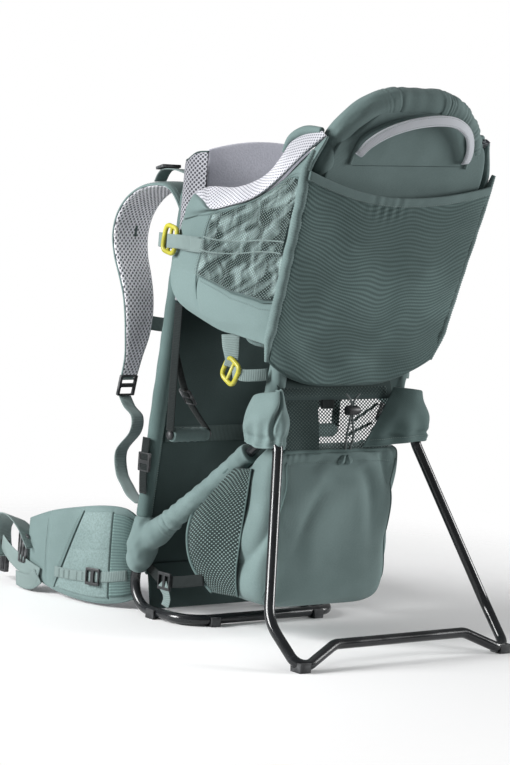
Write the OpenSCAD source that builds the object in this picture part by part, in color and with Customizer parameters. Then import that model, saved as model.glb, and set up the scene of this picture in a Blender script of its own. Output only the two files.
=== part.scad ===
// Framed baby carrier backpack: tube frame, folding kickstand, padded cockpit, carrying harness.
// Millimetres. +Z is up, the wearer faces +Y, the rear panel looks toward -Y, the floor is z = 0.

/* [Pack size] */
// Height of the headrest's top above the floor
pack_height = 750; // [720:1:790]
// Spacing of the two base arms, centre to centre
frame_width = 272; // [262:1:290]
// Reach of the kickstand's feet behind the origin
pack_reach = 350; // [340:1:370]

/* [Tubes] */
// Outer diameter of the frame tubes
tube_d = 14; // [12:0.5:15]
// Bend radius between the back frame and the base arms
base_bend = 38; // [30:1:44]
// Bend radius of the rear base corners
corner_bend = 40; // [30:1:44]
// Bend radius of the back frame's top corners
bow_bend = 38; // [30:1:46]
// Bend radius of the headrest arch
arch_bend = 105; // [96:1:112]
// Thickness of the feet's soles under the tubes
sole_t = 2; // [1.5:0.1:4]

/* [Kickstand hub] */
// Diameter of the kickstand's rivets
pin_d = 8; // [6:0.5:9]
// Radial clearance of the kickstand's eyes on the rivets
pin_clear = 0.05; // [0.02:0.01:0.1]
// Thickness of each ear of the hub brackets
ear_t = 4; // [3:0.5:5]

/* [Padding] */
// Thickness of the cockpit's side wings at their middle
wing_t = 13; // [9:0.5:16]
// Radius of the padded rim on the side wings
rim_r = 12.5; // [10:0.5:13]
// Outer radius of the headrest's padded roll
roll_r = 17; // [14:0.5:19]
// Thickness of the shoulder straps at their middle
strap_t = 13; // [9:0.5:15]
// Width of the shoulder straps over the shoulder
strap_w = 64; // [54:1:70]
// Thickness of the hip fins at their middle
fin_t = 15; // [10:0.5:17]
// Forward bulge of the lumbar pad
lumbar_t = 25; // [16:1:28]

/* [Webbing and buckles] */
// Width of the narrow webbing
web_w = 20; // [16:1:22]
// Thickness of the webbing
web_t = 1.6; // [1:0.1:2]
// Width of the hip belt's webbing
belt_w = 38; // [30:1:40]
// Thickness of the ladder locks
lock_t = 4; // [3:0.5:5]

/* [Fits] */
// Gap between sewn or seated pieces
gap = 0.4; // [0.3:0.05:0.6]

/* [Hidden] */
sx = frame_width / 272;
sy = pack_reach / 350;
sz = pack_height / 750;
tube_r = tube_d / 2;
base_z = tube_r + sole_t;
top_z = 612 * sz;
rear_bar_y = -57 * sy;
sage = "#7d918b";
dark_sage = "#5c6f6a";
pale = "#c9c8d2";
black = "#24272a";
yellow = "#d8cf2a";

// Points of the reference size moved to the size asked for
function at(x, y, z) = [x * sx, y * sy, z * sz];
function lean(a) = sy / sz * a;
back_k = lean(0.0567);
rear_k = lean(0.295);
back_a = atan(back_k);
// Centre line of the back frame's uprights
function back_y(z) = 67 * sy - back_k * (z - 30 * sz);
function back_x(z) = sx * (136 - 28 * (z / sz - 9) / 603);
// Outer face of the rear panel
function rear_y(z) = -206 * sy - rear_k * (z - 409 * sz);

function unit(v) = v / norm(v);
function mix(a, b, t) = a + (b - a) * t;
function dir(p, i) = unit(p[i + 1] - p[i]);
function turn(p, i) = acos(max(-1, min(1, dir(p, i - 1) * dir(p, i))));
function setback(p, r, i) = (i <= 0 || i >= len(p) - 1) ? 0 : r[i] * tan(turn(p, i) / 2);
// Smooth curve through the points p, t from 0 to 1
function curve(p, t) =
  let (n = len(p) - 1, s = min(max(t, 0), 1) * n, i = min(floor(s), n - 1), f = s - i,
       a = p[max(i - 1, 0)], b = p[i], c = p[i + 1], d = p[min(i + 2, n)])
  0.5 * (2 * b + (c - a) * f + (2 * a - 5 * b + 4 * c - d) * f * f + (3 * b - a - 3 * c + d) * f * f * f);
function tangent(p, t) = unit(curve(p, min(1, t + 0.01)) - curve(p, max(0, t - 0.01)));
// Points along the bend at vertex i of a tube's path
function bend_points(p, r, i, n) =
  let (u = dir(p, i - 1), v = dir(p, i), a = turn(p, i), q = unit(v - u * (u * v)),
       c = p[i] - u * setback(p, r, i) + q * r[i])
  [for (k = [0 : n]) c - q * r[i] * cos(a * k / n) + u * r[i] * sin(a * k / n)];
// Centre of that bend
function bend_mid(p, r, i) = let (u = dir(p, i - 1), v = dir(p, i), q = unit(v - u * (u * v)))
  p[i] - u * setback(p, r, i) + q * r[i];
function mirrored(p) = [for (q = p) [-q.x, q.y, q.z]];
// Edge fall-off of a padded piece, 0 at its border and 1 inside
function crown(u, v, k = 0.5) = pow(max(0, sin(180 * u)), k) * pow(max(0, sin(180 * v)), k);

module along(a, b, d) {
  w = unit(b - a);
  translate(a) rotate([0, acos(w.z), atan2(w.y, w.x)]) cylinder(d = d, h = norm(b - a), $fn = 48);
}
module bend(c, u, q, r, angle, d) {
  k = cross(u, q);
  multmatrix([[-q.x, u.x, k.x, c.x], [-q.y, u.y, k.y, c.y], [-q.z, u.z, k.z, c.z], [0, 0, 0, 1]])
    rotate_extrude(angle = angle, $fn = 96) translate([r, 0]) circle(d = d, $fn = 48);
}
// Tube through the points p, bent with the radii r; the bends swell by a tenth and lap the straights
module bent_tube(p, r, d) {
  lap = 1;
  swell = 0.2;
  last = len(p) - 2;
  for (i = [0 : last])
    along(p[i] + dir(p, i) * (i == 0 ? 0 : setback(p, r, i) - lap),
          p[i + 1] - dir(p, i) * (i == last ? 0 : setback(p, r, i + 1) - lap), d);
  for (i = [1 : last]) {
    u = dir(p, i - 1);
    v = dir(p, i);
    q = unit(v - u * (u * v));
    bend(p[i] - u * setback(p, r, i) + q * r[i], u, q, r[i], turn(p, i), d + swell);
  }
}
// Closed solid between two grids of points, outside a and inside b
module slab(a, b) {
  n = len(a);
  m = len(a[0]);
  s = n * m;
  points = concat([for (r = a) each r], [for (r = b) each r]);
  outer = [for (i = [0 : n - 2], j = [0 : m - 2]) each
    [[i * m + j, i * m + j + 1, (i + 1) * m + j], [i * m + j + 1, (i + 1) * m + j + 1, (i + 1) * m + j]]];
  inner = [for (f = outer) [f[0] + s, f[2] + s, f[1] + s]];
  ends = [for (j = [0 : m - 2], i = [0, n - 1]) each
    let (e = i * m + j, g = [[e, e + s, e + 1], [e + 1, e + s, e + 1 + s]])
    i == 0 ? g : [for (f = g) [f[0], f[2], f[1]]]];
  sides = [for (i = [0 : n - 2], j = [0, m - 1]) each
    let (e = i * m + j, g = [[e, e + m, e + s], [e + m, e + m + s, e + s]])
    j == 0 ? g : [for (f = g) [f[0], f[2], f[1]]]];
  polyhedron(points, concat(outer, inner, ends, sides), convexity = 8);
}
// Closed solid through rings of points
module skin(rings) {
  n = len(rings);
  m = len(rings[0]);
  mid = function(r) [for (k = [0 : 2]) let (c = [for (q = r) q[k]]) (min(c) + max(c)) / 2];
  points = concat([for (r = rings) each r], [mid(rings[0]), mid(rings[n - 1])]);
  walls = [for (i = [0 : n - 2], j = [0 : m - 1]) let (k = (j + 1) % m) each
    [[i * m + j, (i + 1) * m + j, i * m + k], [i * m + k, (i + 1) * m + j, (i + 1) * m + k]]];
  caps = [for (j = [0 : m - 1]) let (k = (j + 1) % m) each
    [[n * m, j, k], [n * m + 1, (n - 1) * m + k, (n - 1) * m + j]]];
  polyhedron(points, concat(walls, caps), convexity = 8);
}
// Hollow sleeve between outer rings a and inner rings b
module pipe(a, b) {
  n = len(a);
  m = len(a[0]);
  s = n * m;
  points = concat([for (r = a) each r], [for (r = b) each r]);
  outer = [for (i = [0 : n - 2], j = [0 : m - 1]) let (k = (j + 1) % m) each
    [[i * m + j, (i + 1) * m + j, i * m + k], [i * m + k, (i + 1) * m + j, (i + 1) * m + k]]];
  inner = [for (f = outer) [f[0] + s, f[2] + s, f[1] + s]];
  ends = [for (j = [0 : m - 1], i = [0, n - 1]) each
    let (k = (j + 1) % m, e = i * m + j, g = i * m + k, t = [[e, g, e + s], [g, g + s, e + s]])
    i == 0 ? t : [for (f = t) [f[0], f[2], f[1]]]];
  polyhedron(points, concat(outer, inner, ends), convexity = 8);
}
// Ring of m points about c, in the plane of e and f
function ring(c, e, f, r, m, k = 0) = [for (j = [0 : m - 1])
  c + (e * cos(360 * j / m) + f * sin(360 * j / m)) * (r + k * cos(3 * 360 * j / m))];
// Round roll or sleeve along the points p, radius from the list r
function tube_rings(p, ref, r, m, k = 0) = [for (i = [0 : len(p) - 1])
  let (t = unit(p[min(i + 1, len(p) - 1)] - p[max(i - 1, 0)]), e = unit(cross(t, ref)), f = cross(t, e))
  ring(p[i], e, f, is_list(r) ? curve(r, i / (len(p) - 1)) : r, m, k * (i % 2))];
// Flat strap along the points p: width w across the direction side, thickness t
function strap_face(p, side, w, t, n, m, out, k = 0.5, belly = 0) = [for (i = [0 : n])
  let (u = i / n, c = curve(p, u), q = unit(cross(tangent(p, u), side)), ww = is_list(w) ? curve(w, u) : w)
  [for (j = [0 : m]) let (v = j / m, h = web_t / 2 + (t - web_t) / 2 * crown(0.02 + 0.96 * u, 0.02 + 0.96 * v, k))
    c + side * ww * (v - 0.5) + q * (out * h + belly * (1 - 4 * (v - 0.5) * (v - 0.5)))]];
module strap(p, side, w, t, n, m = 1, k = 0.5) {
  slab(strap_face(p, side, w, t, n, m, 1, k), strap_face(p, side, w, t, n, m, -1, k));
}
module both() {
  children();
  mirror([1, 0, 0]) children();
}
// Place children on the back frame's leaning plane at height z
module on_back(z) {
  translate([0, back_y(z), z]) rotate([back_a, 0, 0]) children();
}
// Ladder lock: a frame with two slots about a middle bar, flat in XY, standing on z = 0
module ladder_lock(w, h) {
  rail = 4;
  linear_extrude(lock_t) difference() {
    square([w + 2 * rail, h], center = true);
    translate([0, h / 4 + 0.3]) square([w, h / 2 - rail - 0.4], center = true);
    translate([0, -h / 4 - 0.3]) square([w, h / 2 - rail - 0.4], center = true);
  }
}

// Paths of the frame's tubes
back_path = [[-1, back_y(top_z), top_z], [-back_x(top_z), back_y(top_z), top_z],
  [-back_x(base_z), back_y(base_z), base_z], [-back_x(base_z), rear_bar_y, base_z],
  [back_x(base_z), rear_bar_y, base_z], [back_x(base_z), back_y(base_z), base_z],
  [back_x(top_z), back_y(top_z), top_z], [1, back_y(top_z), top_z]];
back_bends = [0, bow_bend, base_bend, corner_bend, corner_bend, base_bend, bow_bend, 0];
foot_z = 103 * sz;
strut_back = tube_d + 2.4;
strut_foot = [back_x(foot_z), back_y(foot_z) - strut_back, foot_z];
hub = at(100, -152, 272);
arch_corner = at(143, -286, 732);
seat_half = [strut_foot, hub, arch_corner];
seat_path = concat(mirrored(seat_half), [arch_corner, hub, strut_foot]);
seat_bends = [0, 45, arch_bend, arch_bend, 45, 0];
function upright(z) = mix(hub, arch_corner, (z - hub.z) / (arch_corner.z - hub.z));
function strut(t) = mix(strut_foot, hub, t);
arch_side = bend_points(seat_path, seat_bends, 3, 16);
arch_mid = bend_mid(seat_path, seat_bends, 3);
// Half-width of the space inside the arch at height z, off away from the tube's centre line
function arch_in(z, off) = z < arch_side[16].z ? upright(z).x - off :
  lookup(z, [for (q = arch_side) let (w = mix(arch_mid, q, 1 - off / arch_bend)) [w.z, w.x]]);

// Kickstand hub
pivot = at(0, -189, 305);
ear_x = upright(305 * sz).x + tube_r + 1.6;
eye_w = tube_d + 1;
eye_x = ear_x + ear_t + gap + eye_w / 2;
ear_out = eye_x + eye_w / 2 + gap;
ear_r = pin_d / 2 + 8;
eye_d = pin_d + 14;
kick_half = [[eye_x, pivot.y, pivot.z], [eye_x, -206 * sy, 266 * sz], at(193, -293, 57), at(184, -352, 1.5), at(115, -336, 30)];
kick_path = concat(mirrored(kick_half), [for (i = [4 : -1 : 0]) kick_half[i]]);
kick_bends = [0, 40, 70, 18, 30, 30, 18, 70, 40, 0];

module back_frame() color(black) {
  ferrule = 36;
  bent_tube(back_path, back_bends, tube_d);
  translate([-ferrule / 2, back_y(top_z), top_z]) rotate([0, 90, 0]) cylinder(d = tube_d + 3, h = ferrule, $fn = 48);
}
module seat_frame() color(black) bent_tube(seat_path, seat_bends, tube_d);
// Joint of each strut's foot: a collar on the upright and a slanted socket for the strut
module strut_clamps() color(black) both() {
  collar = 13;
  fit = tube_d + 2 * gap;
  lean_on = function(h) [back_x(foot_z + h), back_y(foot_z + h), foot_z + h];
  difference() {
    union() {
      along(lean_on(-collar), lean_on(collar), tube_d + 7);
      along(strut(-0.01), strut(0.09), tube_d + 6);
    }
    along(lean_on(-3 * collar), lean_on(3 * collar), fit);
    along(strut(0) - gap * unit(hub - strut_foot), strut(0.3), fit);
  }
}
// Clevis on each upright, with two ears about the kickstand's eye
module hub_brackets() color(black) both() {
  low = 292 * sz;
  high = 322 * sz;
  box_y = pivot.y + ear_r + 4.5;
  difference() {
    union() {
      along(upright(low), upright(high), tube_d + 7);
      for (x = [ear_x, ear_out]) {
        translate([x, pivot.y, pivot.z]) rotate([0, 90, 0]) cylinder(r = ear_r, h = ear_t, $fn = 48);
        translate([x, pivot.y, pivot.z - 9]) cube([ear_t, box_y + 12 - pivot.y, 20]);
      }
      translate([ear_x + 1, box_y, pivot.z - 9]) cube([ear_out - ear_x + ear_t - 1, 12, 20]);
    }
    along(upright(low - 20), upright(high + 20), tube_d + 2 * gap);
    translate([ear_x - 5, pivot.y, pivot.z]) rotate([0, 90, 0])
      cylinder(d = pin_d + 2 * pin_clear, h = ear_out - ear_x + 20, $fn = 48);
  }
}
module hub_pins() color("silver") both() {
  head = 2.4;
  translate([ear_x - gap - head, pivot.y, pivot.z]) rotate([0, 90, 0]) {
    cylinder(d = pin_d, h = ear_out + ear_t - ear_x + 2 * gap + 2 * head, $fn = 48);
    cylinder(d = pin_d + 5, h = head, $fn = 48);
    translate([0, 0, ear_out + ear_t - ear_x + 2 * gap + head]) cylinder(d = pin_d + 5, h = head, $fn = 48);
  }
}
// Clip with a flat sole under a tube that runs from a to b
module sole_clip(a, b, len_x, len_y) {
  c = (a + b) / 2;
  difference() {
    translate([c.x - len_x / 2, c.y - len_y / 2, 0]) cube([len_x, len_y, c.z + 4]);
    along(a, b, tube_d + 0.2 + 2 * gap);
  }
}
module base_feet() color(black) {
  both() sole_clip([74 * sx, rear_bar_y, base_z], [112 * sx, rear_bar_y, base_z], 16, tube_d + 6);
  both() sole_clip([back_x(base_z), -10 * sy, base_z], [back_x(base_z), 40 * sy, base_z], tube_d + 6, 18);
}
// Cloth sleeve round the back frame's uprights and top bow
function back_point(z) = [back_x(z), back_y(z), z];
sleeve_path = concat([for (i = [0 : 5]) back_point(mix(134, 540, i / 5) * sz)],
  [for (q = bend_points(back_path, back_bends, 6, 5)) q], [[28, back_y(top_z), top_z]]);
module frame_sleeve() color(sage) {
  p = [for (i = [len(sleeve_path) - 1 : -1 : 0]) sleeve_path[i]];
  loop = concat(sleeve_path, mirrored(p));
  far = (tube_r + gap + 0.1) / cos(18) + 0.4;
  pipe(tube_rings(loop, [0, 1, back_k], tube_r + 4, 10, 0.3), tube_rings(loop, [0, 1, back_k], [far, far, far, far + 1.6, far, far, far], 10));
}
sleeve_out = tube_r + 4.6;
panel_t = 6;
module back_panel() color(dark_sage) {
  low = 62 * sz;
  high = 570 * sz;
  edge = sleeve_out + gap;
  on_back(low) rotate([90, 0, 0]) translate([0, 0, -panel_t / 2]) linear_extrude(panel_t)
    polygon([[-back_x(low) + edge, 0], [back_x(low) - edge, 0],
             [back_x(high) - edge, high - low], [-back_x(high) + edge, high - low]]);
}
// Padded cushion on the front of the back panel: half-widths wl and wh, from height zl to zh
function cushion(x0, x1l, x1h, zl, zh, base, t, n, m, k, notch = 0) = [for (i = [0 : n]) let (u = i / n)
  [for (j = [0 : m]) let (v = j / m, z = mix(zl, zh, v), x = mix(x0, mix(x1l, x1h, v), u),
    groove = notch * (abs(2 * u - 1) < 0.12 ? 1 : 0))
    [x, back_y(z) + panel_t / 2 + base + (t - groove) * crown(0.02 + 0.96 * u, 0.02 + 0.96 * v, k), z]]];
module lumbar_pad() color(pale) {
  w = 112 * sx;
  slab(cushion(-w, w, w - 4, 52 * sz, 196 * sz, gap, 0, 12, 8, 0.5),
       cushion(-w, w, w - 4, 52 * sz, 196 * sz, gap + 2, lumbar_t, 12, 8, 0.5, 5));
}
module back_pads() color(pale) both()
  slab(cushion(22 * sx, 88 * sx, 82 * sx, 206 * sz, 440 * sz, gap, 0, 6, 10, 0.5),
       cushion(22 * sx, 88 * sx, 82 * sx, 206 * sz, 440 * sz, gap + 2, 13, 6, 10, 0.5));
// Rail that the shoulder harness slides on
rail_w = 28;
rail_t = 3;
rail_y = panel_t / 2 + gap;
slide_z = 530 * sz;
module slide_rail() color(black) on_back(slide_z)
  translate([-rail_w / 2, rail_y, -86 * sz]) cube([rail_w, rail_t, 124 * sz]);

// Side wings: outlines in the side view, as [y, z] of the reference size
wing_front = [[-31, 431], [-6, 443], [8, 462], [9, 488], [0, 509], [-6, 530], [-12, 548], [-20, 562]];
wing_rear = [[-202, 403], [-218.8, 460], [-236.5, 520], [-248.3, 560], [-260.1, 600], [-271.9, 640], [-284.6, 683]];
wing_low = [[-31, 431], [-97, 413], [-140, 409], [-202, 403]];
wing_top = [[-20, 562], [-68, 568], [-133, 585], [-198, 612], [-244, 650], [-284.6, 683]];
function wing_yz(u, v) =
  mix(curve(wing_low, u), curve(wing_top, u), v) + mix(curve(wing_front, v), curve(wing_rear, v), u)
  - mix(mix(wing_front[0], wing_rear[0], u), mix(wing_front[7], wing_rear[6], u), v);
function wing_x(u, v) = 150 + 7 * v + 6 * crown(u, v, 1) + 10 * u * u * v * v;
function wing_face(s, out) = [for (i = [0 : 14]) let (u = i / 14) [for (j = [0 : 10]) let (v = j / 10,
  q = wing_yz(u, v), t = 3 + (wing_t - 3) * crown(0.02 + 0.96 * u, 0.02 + 0.96 * v, 0.45))
  [s * (wing_x(u, v) * sx - (out ? 0 : t)), q.x * sy, q.y * sz]]];
module side_wing_left() color(sage) slab(wing_face(-1, true), wing_face(-1, false));
module side_wing_right() color(sage) slab(wing_face(1, false), wing_face(1, true));
function rim_mid(u) = let (q = curve(wing_top, u))
  [(wing_x(u, 1) - 8 * pow(u, 6)) * sx - 4, q.x * sy, q.y * sz] + [0, 0.25, 1] * (rim_r + 1.2);
module rim_pads() color(pale) both()
  skin(tube_rings([for (i = [0 : 18]) rim_mid(i / 18)], [1, 0, 0],
    [for (i = [0 : 8]) rim_r * (i == 0 || i == 8 ? 0.45 : i == 1 || i == 7 ? 0.9 : 1)], 12));

// Front wall of the cockpit: half of its plan path and of its top edge
wall_half = [[-133, -52], [-132, -18], [-121, 6], [-103, 16.4], [-52, 20.4], [0, 20.4]];
wall_top = [548, 584, 618, 638, 642, 642];
function wall_xy(u) = u <= 0.5 ? curve(wall_half, 2 * u) : let (q = curve(wall_half, 2 - 2 * u)) [-q.x, q.y];
function wall_mid(u, v) = let (q = wall_xy(u), e = curve(wall_top, 1 - abs(2 * u - 1)), z = mix(440, e, v) * sz,
  w = pow(1 - abs(2 * u - 1), 0.5))
  [q.x * sx, q.y * sy + w * (back_y(z) - back_y(600 * sz)), z];
function wall_face(out) = [for (i = [0 : 20]) let (u = i / 20,
  d = wall_mid(min(1, u + 0.02), 0.5) - wall_mid(max(0, u - 0.02), 0.5), q = unit([-d.y, d.x, 0]))
  [for (j = [0 : 6]) let (v = j / 6) wall_mid(u, v) + q * out * (1.2 + 2.2 * crown(0.02 + 0.96 * u, 0.02 + 0.96 * v))]];
module front_wall() color(pale) slab(wall_face(-1), wall_face(1));
module chin_pad() color("#b9b3c4") {
  face = function(out) [for (i = [0 : 12]) let (u = i / 12) [for (j = [0 : 6]) let (v = j / 6,
    z = mix(572, 652 - 6 * abs(2 * u - 1), v) * sz)
    [mix(-86, 86, u) * sx, back_y(z) - tube_r - 13 - gap - out * (2 + 14 * crown(0.02 + 0.96 * u, 0.02 + 0.96 * v)), z]]];
  slab(face(1), face(0));
}
// Seat: a sling from the rear panel to the front wall, drawn in at the legs
module seat_sling() color(dark_sage) {
  spine = [[-199.4, 406], [-150, 388], [-90, 384], [-40, 396], [8, 430], [21.5, 452]];
  half = [96, 96, 82, 62, 74, 92];
  face = function(out) [for (i = [0 : 14]) let (u = i / 14, q = curve(spine, u), w = curve(half, u))
    [for (j = [0 : 8]) let (v = j / 8, s = 2 * v - 1)
      [s * w * sx, q.x * sy, q.y * sz + 10 * s * s + out * (1.5 + 3 * crown(0.02 + 0.96 * u, 0.02 + 0.96 * v))]]];
  slab(face(-1), face(1));
}
// Child's harness: two padded straps down the rear panel's inside and a crotch strap to the seat
module child_harness() color(dark_sage) {
  side = [1, 0, 0];
  both() strap([for (z = [592, 550, 500, 450, 424]) [(38 + (592 - z) * 0.1) * sx, rear_y(z * sz) + 8.4, z * sz]], side, 38, 8, 10, 2);
  strap([for (q = [[-92, 390.6], [-112, 396], [-128, 410], [-138, 430]]) at(0, q.x, q.y)], side, 30, 5, 5, 2);
}

// Rear panel and pocket: half-widths at height z of the reference size
function rear_w(z) = sx * lookup(z / sz, [[345, 138], [410, 150], [466, 152], [523, 155], [598, 159.5], [640, 166]]);
function rear_low(s) = (345 + 23 * s * s) * sz;
function rear_face(off, t) = [for (i = [0 : 12]) let (u = i / 12, s = 2 * u - 1) [for (j = [0 : 8]) let (v = j / 8,
  z = mix(rear_low(s), 594.6 * sz, v))
  [s * rear_w(z), rear_y(z) + off + t * crown(0.02 + 0.96 * u, 0.02 + 0.96 * v), z]]];
module rear_panel() color(dark_sage) slab(rear_face(-1, -1), rear_face(1, 2.5));
module head_panel() color(dark_sage) {
  face = function(off, t) [for (i = [0 : 10]) let (u = i / 10, s = 2 * u - 1) [for (j = [0 : 8]) let (v = j / 8,
    z = mix(600 * sz, arch_corner.z - roll_r - 4, v))
    [s * arch_in(z, roll_r - 2.4), rear_y(z) + off + t * crown(0.02 + 0.96 * u, 0.02 + 0.96 * v), z]]];
  slab(face(-1, -1), face(1, 2.5));
}
function pocket_face(off, t) = [for (i = [0 : 14]) let (u = i / 14, s = 2 * u - 1) [for (j = [0 : 10]) let (v = j / 10,
  z = mix(rear_low(s) + 5, (596 + 34 * s * s) * sz, v))
  [s * (rear_w(z) - 1.5), rear_y(z) - 1.5 - gap - off - t * sin(90 * min(1, 2.2 * v)) * pow(cos(90 * s), 0.6), z]]];
module stretch_pocket() color(dark_sage) slab(pocket_face(3, 7), pocket_face(0, 7));
hood_path = concat([for (z = [597, 603]) [-upright(z * sz).x, upright(z * sz).y, z * sz]],
  bend_points(seat_path, seat_bends, 2, 9), bend_points(seat_path, seat_bends, 3, 9),
  [for (z = [603, 597]) upright(z * sz)]);
module headrest_hood() color(sage) {
  ref = unit(cross(upright(700) - upright(400), [1, 0, 0]));
  pipe(tube_rings(hood_path, ref, [roll_r - 4, roll_r, roll_r + 1, roll_r, roll_r - 4], 12),
       tube_rings(hood_path, ref, (tube_r + 0.1 + gap) / cos(15) + 0.3, 12));
}
// Fleece pad for the child's head, inside the headrest arch
module head_pad() color("#b9b3c4") {
  face = function(out) [for (i = [0 : 10]) let (u = i / 10, s = 2 * u - 1) [for (j = [0 : 6]) let (v = j / 6,
    z = mix(618 * sz, arch_corner.z - roll_r - 16, v))
    [s * arch_in(z, roll_r + 13), rear_y(z) + 3.5 + gap + out * (2 + 18 * crown(0.02 + 0.96 * u, 0.02 + 0.96 * v)), z]]];
  slab(face(0), face(1));
}
// Cloth covers about the kickstand's hubs, open below and toward the strut
module hub_sleeves() color(sage) both() {
  plan = [[78, -200], [88, -217], [112, -225], [137, -218], [149, -198], [150, -172], [146, -150], [138, -138]];
  face = function(in) [for (i = [0 : 14]) let (u = i / 14, q = curve(plan, u),
    d = curve(plan, min(1, u + 0.03)) - curve(plan, max(0, u - 0.03)), k = unit([d.y, -d.x]))
    [for (j = [0 : 5]) let (v = j / 5, b = 5 * sin(180 * v) - 7 * v * v - in * 3)
      [(q.x + k.x * b) * sx, (q.y + k.y * b) * sy, mix(268, 345 - 10 * u * u, v) * sz]]];
  slab(face(0), face(1));
}

// Ladder lock standing across X at p, with its web running along the tilt angle
module side_lock(p, tilt, w, h) {
  translate(p) rotate([tilt, 0, 0]) rotate([90, 0, 90]) ladder_lock(w, h);
}
up_lock = at(158, 14, 522);
low_lock = at(148, -128, 362);
module yellow_adjusters() color(yellow) both() {
  side_lock(up_lock, 90, web_w, 30);
  side_lock(low_lock, 8, web_w, 30);
}
lock_mid = lock_t / 2;
module body_webs() color(pale) both() {
  // from the wing's side, through the upper adjuster's slots, to the back frame's sleeve
  strap([at(158, -58, 523) + [1.8, 0, 0], at(158, -22, 523) + [4.4, 0, 0], up_lock + [lock_t + 1.4, -10, 0]],
    [0, 0, 1], web_w - 1, web_t, 6);
  strap([up_lock + [lock_mid, 15 + 2 * gap, 0], at(148, 38, 520), at(131, 46, 518), at(123.8, 42.3, 517)],
    [0, 0, 1], web_w - 1, web_t, 6);
  // from the wing's lower edge to the lower adjuster and on to the hub
  strap([at(147.6, -122, 409.2), at(148, -124, 396), low_lock + [lock_mid, -2.3, 15.5]], unit([0, 1, 0.14]), web_w - 1, web_t, 4);
  strap([low_lock + [lock_mid, -15.4, 0], at(147, -152, 358), at(136, -168, 360), at(124, -176, 362)], [0, 0, 1], web_w - 4, web_t, 6);
  // from the back panel's foot to the bag's foot
  strap([at(118, 61, 66), at(124, 10, 52), at(117.3, -62, 66)], [0, 0, 1], web_w - 4, web_t, 6);
}
panel_lock = at(124, 10, 52) + [web_t / 2 + gap, 0, 0];
edge_lock = [back_x(212 * sz) + sleeve_out + gap, back_y(212 * sz) - 2, 212 * sz];
module panel_locks() color(black) both() {
  side_lock(edge_lock, 0, web_w - 4, 26);
  side_lock(panel_lock, 90, web_w - 4, 26);
}

// Storage bag: height, front, rear and half-width of its rings
bag_rings = [[45, -92, -172, 76], [48, -74, -184, 92], [58, -58, -193, 105], [80, -48, -198, 112], [115, -45, -200, 116],
  [155, -52, -202, 116], [200, -84, -203, 113], [238, -118, -203, 105], [256, -140, -202, 94], [263, -146, -199.6, 84]];
function bag_ring(q) = [for (j = [0 : 31]) let (a = 360 * j / 32, c = cos(a), s = sin(a), e = 0.62,
  fold = 1 + 0.012 * cos(6 * a) * sin(180 * (q[0] - 45) / 218))
  [q[3] * sx * sign(c) * pow(abs(c), e) * fold,
   ((q[1] + q[2]) / 2 + (q[1] - q[2]) / 2 * sign(s) * pow(abs(s), e)) * sy, q[0] * sz]];
module storage_bag() color(sage) skin([for (q = bag_rings) bag_ring(q)]);
module waist_mesh() color(dark_sage) {
  face = function(off) [for (i = [0 : 8]) let (u = i / 8, s = 2 * u - 1) [for (j = [0 : 4]) let (v = j / 4)
    [s * 76.4 * sx, mix(-200.6, -186.6, v) * sy - off - 3 * cos(90 * s) * sin(180 * v), mix(262, 344.2, v) * sz]]];
  slab(face(2.4), face(0));
}
// Mesh pockets on the bag's sides
module mesh_pockets() color(dark_sage) both() {
  front = [[-66, 54], [-52, 90], [-58, 140], [-92, 186], [-126, 230]];
  rear = [[-128, 54], [-134, 100], [-140, 150], [-146, 196], [-150, 232]];
  face = function(off, t) [for (i = [0 : 6]) let (u = i / 6) [for (j = [0 : 8]) let (v = j / 8,
    q = mix(curve(front, v), curve(rear, v), u))
    [(117.9 - 10 * pow(max(0, 1 - (q.y - 54) / 50), 2) + off + t * crown(u, v, 0.7)) * sx, q.x * sy, q.y * sz]]];
  slab(face(0, 0), face(2, 4));
}
module strut_sleeves() color(sage) both() {
  p = [for (i = [0 : 12]) strut(mix(0.14, 0.86, i / 12))];
  pipe(tube_rings(p, [1, 0, 0], [tube_r + 7, tube_r + 5, tube_r + 4, tube_r + 5, tube_r + 6], 12, 0.8),
       tube_rings(p, [1, 0, 0], (tube_r + gap) / cos(15), 12));
}
// Drawcord of the bag's neck, its lock and the lock's button; the lock's barrel lies along X
cord_r = 1.5;
lock_c = at(0, -208, 316);
barrel_d = 13;
button_d = 9;
module drawcord() color(black) for (s = [-1, 1])
  skin(tube_rings([for (i = [0 : 12]) let (t = i / 12)
    curve([[s * 12, 0, 22], [s * 2.4, 0, 12], [s * 1.7, 0, 0], [s * 2.4, 0, -14], [s * 6, 0, -34], [s * 4, 3, -54]], t) + lock_c],
    [0, 1, 0], cord_r, 6));
module cord_lock() color(black) difference() {
  translate(lock_c + [-8, 0, 0]) rotate([0, 90, 0]) cylinder(d = barrel_d, h = 16, $fn = 48);
  translate(lock_c + [-6, 0, 0]) rotate([0, 90, 0]) cylinder(d = button_d + 2 * pin_clear, h = 16, $fn = 48);
  translate(lock_c + [0, 0, -barrel_d]) cylinder(d = 7.4, h = 2 * barrel_d, $fn = 48);
}
module cord_button() color("#3a3e42") difference() {
  translate(lock_c + [-2, 0, 0]) rotate([0, 90, 0]) cylinder(d = button_d, h = 14.5, $fn = 48);
  translate(lock_c + [-3, -3.7, -button_d]) cube([9, 7.4, 2 * button_d]);
}

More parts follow.
